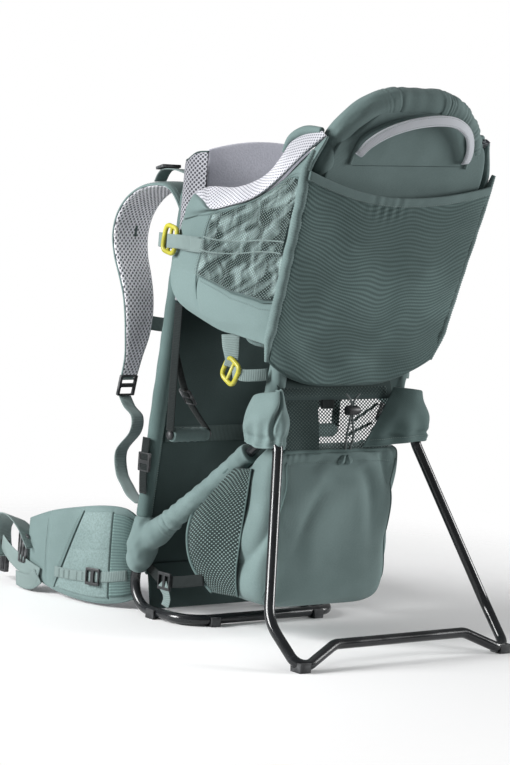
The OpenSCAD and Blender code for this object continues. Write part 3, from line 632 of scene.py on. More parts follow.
@effect("swaying_ribs", Pitch=3.0, Sway=6.0)
def ribs(kit: Nodes, start: Sockets) -> dict[str, Socket]:
    """Ribs of a knit or a webbing, pushed about by a slow noise; the shade output is painted shade, darker in
    the valleys between ribs.
    """
    parts = kit.split(start["Vector"])
    push = kit.math("MULTIPLY", kit.noise(start["Vector"], 0.013, 0.0), start["Sway"])
    turn = kit.math("DIVIDE", 2 * math.pi, start["Pitch"])
    wave = kit.math("SINE", kit.math("MULTIPLY", kit.math("ADD", parts[1], push), turn))
    cross = kit.math("SINE", kit.math("MULTIPLY", parts[0], kit.math("MULTIPLY", turn, 1.7)))
    height = kit.math("ADD", kit.math("MULTIPLY", wave, 0.4), kit.math("MULTIPLY", cross, 0.1))
    return {"Height": height, "Shade": kit.ramp(height, -0.5, 0.5)}


@effect("staggered_holes", Pitch=5.0, Size=0.2)
def holes(kit: Nodes, start: Sockets) -> dict[str, Socket]:
    """Round holes in staggered rows: 1 in a hole, 0 on the cloth between."""
    parts = kit.split(start["Vector"])
    x = kit.math("DIVIDE", parts[0], start["Pitch"])
    y = kit.math("DIVIDE", parts[1], kit.math("MULTIPLY", start["Pitch"], 1.25))
    fars = []
    for shift in (0.0, 0.5):
        a, b = (kit.math("SUBTRACT", kit.math("FRACT", kit.math("ADD", c, shift)), 0.5) for c in (x, y))
        squares = (kit.math("POWER", kit.math("ABSOLUTE", c), 2.0) for c in (a, b))
        fars.append(kit.math("SQRT", kit.math("ADD", *squares)))
    inside = kit.math("SUBTRACT", start["Size"], kit.math("MINIMUM", *fars))
    return {"Mask": kit.ramp(inside, -0.05, 0.05), "Height": kit.ramp(inside, -0.14, 0.06, 1.0, 0.0)}


@effect("lining_folds_painted_light_and_shade")
def folds(kit: Nodes, start: Sockets) -> dict[str, Socket]:
    """Facets of a crumpled lining, as relief and as painted light and shade: two noises, stretched along
    different slants.
    """
    parts = []
    for angle, scale, weight in ((-0.85, (0.013, 0.062, 1.0), 0.62), (0.5, (0.02, 0.075, 1.0), 0.38)):
        turned = kit.make("VectorRotate", {"Vector": start["Vector"], "Angle": angle},
                          rotation_type="Z_AXIS").outputs[0]
        place = kit.make("VectorMath", {0: turned, 1: scale}, operation="MULTIPLY").outputs[0]
        parts.append(kit.math("MULTIPLY", kit.noise(place, 1.0, 1.0), weight))
    total = kit.math("ADD", *parts)
    return {"Height": total, "Shade": kit.ramp(total, 0.43, 0.64)}


@effect("slow_mottle", Scale=8.0)
def mottle(kit: Nodes, start: Sockets) -> dict[str, Socket]:
    """Slow variation of a dyed or moulded surface, with fine grain."""
    broad = kit.noise(start["Vector"], start["Scale"], 3.0)
    fine = kit.noise(start["Vector"], kit.math("MULTIPLY", start["Scale"], 45.0), 2.0)
    return {"Shade": kit.ramp(broad, 0.3, 0.7), "Grain": fine}


@effect("rubbed_corners")
def wear(kit: Nodes, start: Sockets) -> dict[str, Socket]:
    """Rubbed corners: high on outward edges, broken up by noise."""
    edge = kit.ramp(kit.make("NewGeometry").outputs["Pointiness"], 0.52, 0.62)
    spots = kit.ramp(kit.noise(start["Vector"], 90.0, 3.0), 0.35, 0.65)
    return {"Mask": kit.math("MULTIPLY", edge, spots)}


@effect("settled_dust")
def dust(kit: Nodes, start: Sockets) -> dict[str, Socket]:
    """A thin dust on what faces up."""
    up = kit.split(kit.make("NewGeometry").outputs["Normal"])[2]
    cloud = kit.ramp(kit.noise(start["Vector"], 22.0, 4.0), 0.4, 0.75)
    return {"Mask": kit.math("MULTIPLY", kit.ramp(up, 0.55, 1.0), cloud)}


class Pattern(Enum):
    """How a cloth is made."""

    PLAIN = "plain weave"
    RIBBED = "ribbed knit"
    PUNCHED = "spacer mesh with round holes"
    NET = "open net"
    NAPPED = "brushed nap"
    # a crumpled lining whose folds' light and shade are painted into its colour
    PAINTED_CREASES = "crumpled lining"
    BAND = "woven band"


@dataclass(frozen=True)
class Finish:
    """A surface with a name, made into a material once."""

    name: str
    colour: Colour

    @lru_cache(maxsize=None)
    def material(self) -> bpy.types.Material:
        """The finish's material, made at the first call."""
        made = bpy.data.materials.new(self.name)
        made.use_nodes = True
        made.diffuse_color = (*self.colour, 1.0)
        self.fill(Nodes(made.node_tree), made.node_tree.nodes["Principled BSDF"].inputs)
        return made

    def fill(self, kit: Nodes, surface: Sockets) -> None:
        """Join the nodes; each kind of finish has its own."""
        raise NotImplementedError


@dataclass(frozen=True)
class Cloth(Finish):
    """A textile: its threads, its holes, its nap."""

    # deep: the mottle's darker tone and the holes' colour, and painted shade between threads and ribs and in
    # a crumpled lining's creases
    deep: Colour = (0.05, 0.07, 0.07)
    pattern: Pattern = Pattern.PLAIN
    pitch: float = 1.1
    hole: float = 0.2
    rough: float = 0.78
    sheen: float = 0.08
    relief: float = 0.35
    sway: float = 0.0

    def fill(self, kit: Nodes, surface: Sockets) -> None:
        """Threads or holes over a slow mottle, with relief from both; the colour also goes darker between
        threads and ribs as painted shade.
        """
        flat = kit.make("UVMap", uv_map=COORDS).outputs["UV"]
        place = kit.make("TexCoord").outputs["Object"]
        cloud = kit.use(mottle(), place, Scale=9.0)
        shade = kit.ramp(cloud["Shade"], 0.0, 1.0, 0.62, 1.0)
        if self.pattern in (Pattern.PUNCHED, Pattern.NET):
            threads = kit.use(holes(), flat, Pitch=self.pitch, Size=self.hole)
            height, solid = threads["Height"], kit.math("SUBTRACT", 1.0, threads["Mask"])
            share = kit.math("MULTIPLY", shade, solid)
            if self.pattern is Pattern.NET:
                kit.join(solid, surface["Alpha"])
        # painted light and shade of the lining's folds
        elif self.pattern is Pattern.PAINTED_CREASES:
            threads = kit.use(folds(), flat)
            height, share = threads["Height"], threads["Shade"]
        elif self.pattern is Pattern.NAPPED:
            height = cloud["Grain"]
            share = kit.math("MULTIPLY", shade, kit.ramp(height, 0.3, 0.7, 0.6, 1.0))
        else:
            if self.pattern is Pattern.PLAIN:
                threads, dark = kit.use(weave(), flat, Pitch=self.pitch), 0.75
            else:
                threads, dark = kit.use(ribs(), flat, Pitch=self.pitch, Sway=self.sway), 0.45
            height = threads["Height"]
            # the low places between threads and ribs go toward the deep colour as painted shade
            share = kit.math("MULTIPLY", shade, kit.ramp(threads["Shade"], 0.0, 1.0, dark, 1.0))
        haze = kit.math("MULTIPLY", kit.use(dust(), place)["Mask"], 0.18)
        pale = tuple(min(1.0, 0.08 + 1.05 * c) for c in self.colour)
        kit.join(kit.blend(haze, kit.blend(share, self.deep, self.colour), pale), surface["Base Color"])
        kit.join(kit.ramp(share, 0.0, 1.0, min(1.0, self.rough + 0.12), self.rough), surface["Roughness"])
        bump = kit.make("Bump", {"Strength": self.relief, "Distance": 0.0006, "Height": height})
        kit.join(bump.outputs[0], surface["Normal"])
        for name, value in (("Sheen Weight", self.sheen), ("Sheen Roughness", 0.45),
                            ("Specular IOR Level", 0.15)):
            kit.join(value, surface[name])


@dataclass(frozen=True)
class Moulded(Finish):
    """Moulded plastic or rubber with a fine grain, rubbed corners and a little dust."""

    rough: float = 0.45
    grain: float = 0.25
    rubbed: Colour = (0.25, 0.26, 0.27)
    scale: float = 30.0
    shaded: float = 0.72
    worn: float = 0.35
    dusty: float = 0.10

    def gloss(self, kit: Nodes, cloud: Sockets) -> Socket:
        """The roughness over the surface."""
        return kit.ramp(cloud["Grain"], 0.3, 0.7, self.rough - 0.06, self.rough + 0.1)

    def fill(self, kit: Nodes, surface: Sockets) -> None:
        """Mottle, wear on corners, dust and grain."""
        place = kit.make("TexCoord").outputs["Object"]
        cloud = kit.use(mottle(), place, Scale=self.scale)
        tint = kit.blend(cloud["Shade"], tuple(self.shaded * c for c in self.colour), self.colour)
        for tree, share, colour in ((wear(), self.worn, self.rubbed),
                                    (dust(), self.dusty, (0.5, 0.5, 0.49))):
            tint = kit.blend(kit.math("MULTIPLY", kit.use(tree, place)["Mask"], share), tint, colour)
        kit.join(tint, surface["Base Color"])
        kit.join(self.gloss(kit, cloud), surface["Roughness"])
        bump = kit.make("Bump", {"Strength": self.grain, "Distance": 0.0002, "Height": cloud["Grain"]})
        kit.join(bump.outputs[0], surface["Normal"])


@dataclass(frozen=True)
class Coated(Moulded):
    """Metal: powder coated where metallic is low, bare where it is high."""

    rough: float = 0.3
    grain: float = 0.12
    rubbed: Colour = (0.35, 0.36, 0.38)
    scale: float = 24.0
    shaded: float = 0.7
    worn: float = 0.3
    dusty: float = 0.08
    metallic: float = 0.0

    def gloss(self, kit: Nodes, cloud: Sockets) -> Socket:
        """The roughness of an orange-peel coat."""
        return kit.ramp(cloud["Shade"], 0.0, 1.0, self.rough - 0.05, self.rough + 0.07)

    def fill(self, kit: Nodes, surface: Sockets) -> None:
        """The same layers over metal."""
        super().fill(kit, surface)
        kit.join(self.metallic, surface["Metallic"])


SAGE = Cloth("sage_weave", (0.178, 0.247, 0.242), deep=(0.080, 0.118, 0.115))
# A darker sage: cloth colour on several pieces, and painted shade on the right hub cover
DEEP_SAGE_AND_PAINTED_SHADE = Cloth("deep_sage_and_painted_shade_cloth", (0.112, 0.168, 0.163), deep=(0.055, 0.084, 0.081))
SHADE_CLOTH = Cloth("shade_cloth", (0.050, 0.078, 0.076), deep=(0.024, 0.038, 0.037))
MELANGE = Cloth("melange_cloth", (0.225, 0.302, 0.296), deep=(0.085, 0.126, 0.122),
                pattern=Pattern.NAPPED, relief=0.7)
# A near-black sheet behind the side nets: painted shadow inside the pockets
NET_SHADOW_SHEET = Cloth("net_lining", (0.022, 0.034, 0.033), deep=(0.012, 0.018, 0.018))
# bright for painted light on the folds' facets, near-black for painted shade in their creases
PAINTED_CREASES = Cloth("lining_with_painted_fold_light", (0.33, 0.43, 0.42), deep=(0.012, 0.022, 0.021),
                pattern=Pattern.PAINTED_CREASES, relief=0.5)
KNIT = Cloth("swaying_knit", (0.138, 0.207, 0.200), deep=(0.042, 0.064, 0.062),
             pattern=Pattern.RIBBED, pitch=5.3, relief=0.9, sway=34.0)
RIBBED = Cloth("ribbed_cloth", (0.155, 0.235, 0.227), deep=(0.07, 0.106, 0.102),
               pattern=Pattern.RIBBED, pitch=4.0, relief=0.8, sway=4.0)
SPACER = Cloth("punched_spacer", (0.66, 0.665, 0.71), deep=(0.14, 0.144, 0.165),
               pattern=Pattern.PUNCHED, pitch=6.0, hole=0.21, relief=0.8, sheen=0.05)
FLEECE = Cloth("brushed_fleece", (0.66, 0.665, 0.75), deep=(0.46, 0.465, 0.54),
               pattern=Pattern.NAPPED, sheen=0.4, relief=0.8, rough=0.9)
# The straps' spacer mesh: the same cloth as the other spacer meshes, made brighter as painted light on the
# strap's shaded inner face
PAINTED_LIGHT_STRAP_MESH = Cloth("strap_spacer", (0.93, 0.935, 0.98), deep=(0.13, 0.135, 0.155),
                   pattern=Pattern.PUNCHED, pitch=6.4, hole=0.22, relief=0.8)
WALL_MESH = Cloth("wall_spacer", (0.40, 0.405, 0.44), deep=(0.05, 0.052, 0.06),
                  pattern=Pattern.PUNCHED, pitch=6.4, hole=0.26, relief=0.8)
DARK_NET = Cloth("dark_net", (0.085, 0.125, 0.121), deep=(0.02, 0.03, 0.029),
                 pattern=Pattern.NET, pitch=4.8, hole=0.275, relief=0.5)
COARSE_NET = Cloth("coarse_net", (0.22, 0.30, 0.29), deep=(0.06, 0.09, 0.088),
                   pattern=Pattern.NET, pitch=5.6, hole=0.35, relief=0.5)
NET = Cloth("open_net", (0.24, 0.31, 0.30), deep=(0.06, 0.09, 0.088),
            pattern=Pattern.NET, pitch=4.4, hole=0.35, relief=0.5)
WEB = Cloth("sage_webbing", (0.23, 0.295, 0.287), deep=(0.115, 0.155, 0.15),
            pattern=Pattern.BAND, pitch=2.4, relief=0.7)
# Dark webbing, also used as painted shadow in the shoulder straps' slots
DARK_WEB_AND_SLOT_SHADOW = Cloth("dark_webbing", (0.095, 0.135, 0.13), deep=(0.04, 0.055, 0.053),
                 pattern=Pattern.BAND, pitch=2.4, relief=0.7)
BLACK_WEB = Cloth("black_webbing", (0.017, 0.023, 0.023), deep=(0.008, 0.010, 0.010),
                  pattern=Pattern.BAND, pitch=2.2, relief=0.7)
GREY_BAND = Cloth("grey_band", (0.72, 0.75, 0.80), deep=(0.52, 0.54, 0.58), pattern=Pattern.BAND, pitch=1.8,
                  relief=0.6)
THREAD = Cloth("sewing_thread", (0.27, 0.36, 0.35), deep=(0.2, 0.25, 0.24), pattern=Pattern.BAND, pitch=0.8)
DARK_THREAD = Cloth("dark_thread", (0.05, 0.07, 0.068), deep=(0.03, 0.04, 0.04),
                    pattern=Pattern.BAND, pitch=0.8)
CORD = Cloth("braided_cord", (0.200, 0.230, 0.230), deep=(0.050, 0.060, 0.060),
             pattern=Pattern.BAND, pitch=1.4)
BLACK_PLASTIC = Moulded("moulded_black", (0.018, 0.020, 0.022))
YELLOW_PLASTIC = Moulded("moulded_yellow", (0.46, 0.43, 0.035), rough=0.38, rubbed=(0.85, 0.82, 0.3))
SOLE_RUBBER = Moulded("sole_rubber", (0.022, 0.024, 0.026), rough=0.7, grain=0.4)
BLACK_TUBE = Coated("black_tube", (0.014, 0.016, 0.018), rough=0.17)
RIVET_STEEL = Coated("rivet_steel", (0.55, 0.56, 0.58), rough=0.28, metallic=1.0)


# Stage and camera

@dataclass(frozen=True)
class Camera:
    """The photograph's viewpoint, in millimetres and degrees."""

    azimuth: float = -40.0
    elevation: float = 6.1
    roll: float = 3.97
    focal_px: float = 3066.0
    distance: float = 4265.0
    target: tuple[float, float, float] = (2.2, 0.0, 327.0)
    frame_height_px: float = 765.0
    sensor: float = 36.0

    def axes(self) -> tuple[Vector, Vector, Vector]:
        """The camera's right, up and backward directions."""
        a, e, r = (math.radians(x) for x in (self.azimuth, self.elevation, self.roll))
        right = Vector((math.cos(a), math.sin(a), 0))
        back = Vector((math.sin(a) * math.cos(e), -math.cos(a) * math.cos(e), math.sin(e)))
        up = back.cross(right)
        return (right * math.cos(r) + up * math.sin(r), up * math.cos(r) - right * math.sin(r), back)

    def build(self) -> None:
        """Make the scene's camera."""
        right, up, back = self.axes()
        lens = bpy.data.cameras.new("photo_camera")
        lens.sensor_fit = "AUTO"
        lens.sensor_width = self.sensor
        lens.lens = self.focal_px * self.sensor / self.frame_height_px
        lens.clip_start, lens.clip_end = 0.05, 60.0
        made = show("photo_camera", lens)
        place = Vector(self.target) + back * self.distance
        turned = Matrix((right, up, back)).transposed().to_4x4()
        made.matrix_world = Matrix.Translation(place * MM) @ turned
        bpy.context.scene.camera = made


@dataclass(frozen=True)
class Lamp:
    """One soft box: where it stands from the object's middle, in metres, its size and power."""

    name: str
    offset: tuple[float, float, float]
    size: float
    power: float


@dataclass(frozen=True)
class Studio:
    """Pale floor, soft light, white surroundings."""

    floor_colour: Colour = (0.95, 0.952, 0.955)
    floor_radius: float = 30.0
    ambient: float = 0.2
    middle: tuple[float, float, float] = (0.0, 0.0, 0.35)
    fade: tuple[float, float] = (0.5, 1.1)
    lamps: tuple[Lamp, ...] = (
        Lamp("left_box", (-2.4, 0.6, 0.8), 1.3, 112.0),
        Lamp("right_box", (2.3, -1.5, 0.5), 1.2, 60.0),
        Lamp("top_box", (-0.6, 0.6, 2.6), 1.6, 5.0),
    )

    def build(self) -> None:
        """Make the floor, the lamps and the world."""
        bpy.context.scene.view_settings.view_transform = "Standard"
        self.lay_floor()
        self.hang_lamps()
        self.surround()

    def lay_floor(self) -> None:
        """A pale disc that fades out round the object."""
        work = bmesh.new()
        bmesh.ops.create_circle(work, cap_ends=True, radius=self.floor_radius, segments=64)
        mesh = bpy.data.meshes.new("studio_floor")
        work.to_mesh(mesh)
        work.free()
        floor = show("studio_floor", mesh)
        material = bpy.data.materials.new("studio_floor")
        material.use_nodes = True
        surface = material.node_tree.nodes["Principled BSDF"].inputs
        kit = Nodes(material.node_tree)
        kit.join((*self.floor_colour, 1.0), surface["Base Color"])
        kit.join(0.9, surface["Roughness"])
        kit.join(0.1, surface["Specular IOR Level"])
        place = kit.make("TexCoord").outputs["Object"]
        far = kit.make("VectorMath", {0: place}, operation="LENGTH").outputs["Value"]
        kit.join(kit.ramp(far, *self.fade, 1.0, 0.0), surface["Alpha"])
        mesh.materials.append(material)

    def hang_lamps(self) -> None:
        """The soft boxes, each turned to the object's middle."""
        for lamp in self.lamps:
            light = bpy.data.lights.new(lamp.name, "AREA")
            light.shape = "DISK"
            light.size = lamp.size
            light.energy = lamp.power
            made = show(lamp.name, light)
            made.location = Vector(self.middle) + Vector(lamp.offset)
            made.rotation_mode = "QUATERNION"
            made.rotation_quaternion = (-Vector(lamp.offset)).to_track_quat("-Z", "Y")

    def surround(self) -> None:
        """A world that is white to look at and plain as a light."""
        world = bpy.data.worlds.new("studio")
        bpy.context.scene.world = world
        world.use_nodes = True
        kit = Nodes(world.node_tree)
        ray = kit.make("LightPath")
        seen = kit.math("MAXIMUM", ray.outputs["Is Camera Ray"], ray.outputs["Is Transmission Ray"])
        strength = kit.ramp(seen, 0.0, 1.0, self.ambient, 1.0)
        background = world.node_tree.nodes["Background"].inputs
        kit.join((1.0, 1.0, 1.0, 1.0), background[0])
        kit.join(strength, background[1])


# The frame's own lines

class Layout:
    """Lines and faces of the part, as its source has them, in millimetres; the right side has x above 0."""

    HUB = vec(100.0, -152.0, 272.0)
    ARCH = vec(143.0, -286.0, 732.0)
    FOOT = vec(131.64, 46.46, 103.0)
    ARCH_BEND = 105.0
    BOW_BEND = 38.0
    REAR_LEAN = 0.295
    TOP = 612.0
    WING_FRONT = [[-31, 431], [-6, 443], [8, 462], [9, 488], [0, 509], [-6, 530], [-12, 548], [-20, 562]]
    WING_REAR = [[-202, 403], [-218.8, 460], [-236.5, 520], [-248.3, 560], [-260.1, 600], [-271.9, 640],
                 [-284.6, 683]]
    WING_LOW = [[-31, 431], [-97, 413], [-140, 409], [-202, 403]]
    WING_TOP = [[-20, 562], [-68, 568], [-133, 585], [-198, 612], [-244, 650], [-284.6, 683]]
    RIM_LOW = [[149, -27.6, 589.5], [156, -55, 581], [161, -79, 571], [161.5, -118, 580], [162, -158.6, 591],
               [162.5, -190, 607], [162, -216.5, 625], [160, -243, 646], [154, -263.5, 666], [146, -284, 684]]
    RIM_HIGH = [[149, -27.6, 589.5], [142, -38, 598], [138, -52, 602.5], [137, -101, 605], [136, -140, 617],
                [136, -166, 631], [136, -186, 651], [137, -204, 671], [139, -236, 684], [145, -276, 689]]
    REAR_WIDTH = ([345, 410, 466, 523, 598, 640], [138, 150, 152, 155, 159.5, 166])

    @staticmethod
    def back_y(z: float) -> float:
        """The back frame's depth at a height."""
        return 67 - 0.0567 * (z - 30)

    @staticmethod
    def back_x(z: float) -> float:
        """The back frame's half-width at a height."""
        return 136 - 28 * (z - 9) / 603

    @classmethod
    def rear_y(cls, z: float) -> float:
        """The rear panel's depth at a height."""
        return -206 - cls.REAR_LEAN * (z - 409)

    @classmethod
    def rear_w(cls, z: float) -> float:
        """The rear panel's half-width at a height."""
        return float(np.interp(z, *cls.REAR_WIDTH))

    @classmethod
    def upright(cls, z: float) -> Array:
        """A point on the seat frame's right upright."""
        return mix(cls.HUB, cls.ARCH, (z - cls.HUB[2]) / (cls.ARCH[2] - cls.HUB[2]))

    @classmethod
    def strut(cls, t: float) -> Array:
        """A point on the right strut, from its foot to the hub."""
        return mix(cls.FOOT, cls.HUB, t)

    @staticmethod
    def bend(before: Array, corner: Array, after: Array, radius: float, n: int) -> Array:
        """Points round a tube's bend at a corner."""
        u, v = unit(corner - before), unit(after - corner)
        angle = math.acos(max(-1.0, min(1.0, float(u @ v))))
        q = unit(v - u * float(u @ v))
        middle = corner - u * radius * math.tan(angle / 2) + q * radius
        return np.array([middle - q * radius * math.cos(angle * k / n) + u * radius * math.sin(angle * k / n)
                         for k in range(n + 1)])

    @classmethod
    def arch(cls, n: int) -> Array:
        """The headrest arch from the left upright over to the right one."""
        left, right = mirrored(cls.ARCH), cls.ARCH
        bends = [cls.bend(mirrored(cls.HUB), left, right, cls.ARCH_BEND, n),
                 cls.bend(left, right, cls.HUB, cls.ARCH_BEND, n)]
        return np.concatenate(bends)

    @classmethod
    @lru_cache(maxsize=None)
    def arch_line(cls, off: float) -> Array:
        """The arch's right bend, moved in by off."""
        side = cls.bend(mirrored(cls.ARCH), cls.ARCH, cls.HUB, cls.ARCH_BEND, 24)
        u, v = unit(cls.ARCH - mirrored(cls.ARCH)), unit(cls.HUB - cls.ARCH)
        middle = side[0] + unit(v - u * float(u @ v)) * cls.ARCH_BEND
        return middle + (side - middle) * (1 - off / cls.ARCH_BEND)

    @classmethod
    def arch_in(cls, z: float, off: float) -> float:
        """Half the room inside the arch at a height, off away from the tube's middle."""
        line = cls.arch_line(off)
        if z < line[-1][2]:
            return float(cls.upright(z)[0]) - off
        return float(np.interp(-z, -line[:, 2], line[:, 0]))

    @classmethod
    def wing_yz(cls, u: float, v: float) -> Array:
        """The side wing's outline, u from front to rear and v from low to top."""
        flat = mix(mix(np.array(cls.WING_FRONT[0]), np.array(cls.WING_REAR[0]), u),
                   mix(np.array(cls.WING_FRONT[-1]), np.array(cls.WING_REAR[-1]), u), v)
        return (mix(curve(cls.WING_LOW, u), curve(cls.WING_TOP, u), v)
                + mix(curve(cls.WING_FRONT, v), curve(cls.WING_REAR, v), u) - flat)

    @classmethod
    def wing(cls, u: float, v: float, off: float = 0.0) -> Array:
        """A point on the right wing's outer face, off outward."""
        y, z = cls.wing_yz(u, v)
        corner = step(v, 0.8, 1.0)
        x = 150 + 7 * v + 6 * hump(u, 1) * hump(v, 1) + u * u * (8 * v * v * (1 - corner) - 12 * corner)
        return vec(x + off, y, z)

    @classmethod
    def rim(cls, u: float, high: bool) -> Array:
        """A point on the right rim pad's lower, outer edge or on its high, inner edge."""
        return curve(cls.RIM_HIGH if high else cls.RIM_LOW, u)


# Pieces from faces

Layered = Callable[[float, float, float], Array]


def lattice(face: Face, n: int, m: int) -> list[list[Sequence[float]]]:
    """Points of a face, n steps along u by m steps along v."""
    return [[face(i / n, j / m) for j in range(m + 1)] for i in range(n + 1)]


def panel(name: str, finish: Finish, outer: Face, inner: Face, n: int, m: int) -> Piece:
    """A closed piece between two faces.

    Args:
        name: the piece's name.
        finish: its surface.
        outer: a point of the outer face for u and v from 0 to 1.
        inner: a point of the inner face.
        n: steps along u.
        m: steps along v.

    Returns:
        The piece.
    """
    return Maker().slab(lattice(outer, n, m), lattice(inner, n, m)).build(name, finish)


def layered(name: str, finish: Finish, face: Layered, outer: float, inner: float, n: int, m: int) -> Piece:
    """A closed piece between two levels of one face, as panel makes it."""
    return panel(name, finish, lambda u, v: face(u, v, outer), lambda u, v: face(u, v, inner), n, m)


def skin(name: str, finish: Finish, face: Face, n: int, m: int, thick: float) -> Piece:
    """An open sheet with a thickness, half of it to each side of the face."""
    maker = Maker()
    maker.grid(lattice(face, n, m))
    piece = maker.build(name, finish)
    modifier = piece.modifiers.new("cloth", "SOLIDIFY")
    modifier.thickness = thick * MM
    modifier.offset = 0.0
    return piece


def pair(piece: Piece) -> tuple[tuple[Piece, str], tuple[Piece, str]]:
    """A right-hand piece and its mirror image with the same thickness, each with its side's name."""
    mesh = piece.data.copy()
    mesh.transform(Matrix.Scale(-1, 4, X))
    mesh.flip_normals()
    made = show(piece.name.replace("right", "left"), mesh)
    for old in piece.modifiers:
        new = made.modifiers.new(old.name, old.type)
        new.thickness, new.offset = old.thickness, old.offset
    return (piece, "right"), (made, "left")


def cut(piece: Piece, width: float, held: str, *rests_on: str) -> None:
    """Add up a sheet of cloth's area, halved for a closed piece; nothing is kept or returned.

    Args:
        piece: the sheet.
        width: the cut width in millimetres; not used.
        held: how it is held; not used.
        rests_on: names of what it lies on; not used.
    """
    area = sum(face.area for face in piece.data.polygons)
    if "cloth" not in piece.modifiers:
        area /= 2


def zigzag(middle: Array, reach: float, half: float, pitch: float, count: int) -> list[Array]:
    """The thread of a bar tack: points that go down past a middle, to and fro."""
    return [middle + vec(0, reach * (-1) ** k, half - pitch * k) for k in range(count)]


# Sub-assemblies

@dataclass
class Hardware:
    """Tubes, clips, locks and buckles that keep the shape of their solids, and the two yellow locks."""

    bevel: float = 0.9
    fine_bevel: float = 0.4
    sharp: float = math.radians(38)
    split: float = math.radians(40)
    tubes: tuple[str, ...] = ("back_frame", "seat_frame", "kickstand")
    rubber: tuple[str, ...] = ("base_feet", "kick_feet")
    plastic: tuple[str, ...] = ("strut_clamps", "hub_brackets", "slide_rail", "yoke_plate", "panel_locks",
                                "strap_locks", "fin_lock_left", "fin_lock_right", "sternum_male",
                                "sternum_female", "hip_male", "hip_female", "cord_lock", "cord_button")
    steel: tuple[str, ...] = ("hub_pins",)

    def dress(self) -> None:
        """Give every kept node its finish, and the moulded ones softened edges."""
        for names, finish, rounded in ((self.tubes, BLACK_TUBE, 0.0), (self.rubber, SOLE_RUBBER, self.bevel),
                                       (self.plastic, BLACK_PLASTIC, self.bevel),
                                       (self.steel, RIVET_STEEL, self.fine_bevel)):
            for name in names:
                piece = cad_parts[name]
                piece.data.materials.clear()
                piece.data.materials.append(finish.material())
                self.round(piece, rounded)
                LOG.info("%s finished as %s", name, finish.name)
        self.frame_locks()

    def round(self, piece: Piece, width: float) -> None:
        """Weld a node's corners and round its edges."""
        piece.modifiers.new("weld", "WELD").merge_threshold = 1e-5
        if width:
            edge = piece.modifiers.new("edge", "BEVEL")
            edge.width = width * MM
            edge.segments = 2
            edge.limit_method = "ANGLE"
            edge.angle_limit = self.sharp
        for polygon in piece.data.polygons:
            polygon.use_smooth = True
        piece.modifiers.new("smooth", "EDGE_SPLIT").split_angle = self.split

    @staticmethod
    def frame_locks() -> None:
        """The yellow locks: rounded frames with a middle bar, tilted as the webs pull them."""
        maker = Maker()
        for side in (Side.LEFT, Side.RIGHT):
            maker.flip = side.flip
            for middle, tilt, half in (((160.5, 5, 524), 0.18, (13.0, 18.0)),
                                       ((151, -131, 361), 0.5, (14.0, 15.0))):
                across = vec(0, math.cos(tilt), math.sin(tilt))
                up = vec(0, -math.sin(tilt), math.cos(tilt))
                loop = []
                for a in np.linspace(0, 2 * math.pi, 61):
                    c, s = math.cos(a), math.sin(a)
                    loop.append(np.array(middle) + across * half[0] * math.copysign(abs(c) ** 0.5, c)
                                + up * half[1] * math.copysign(abs(s) ** 0.5, s))
                maker.tube(loop, 3.3, 10, (1, 0.05, 0), cap=False)
                maker.tube([np.array(middle) + up * half[1] * k for k in (-0.9, 0.9)], 2.4, 8, X)
        maker.place("yellow_locks", YELLOW_PLASTIC, "yellow_plastic", "yellow_adjusters")


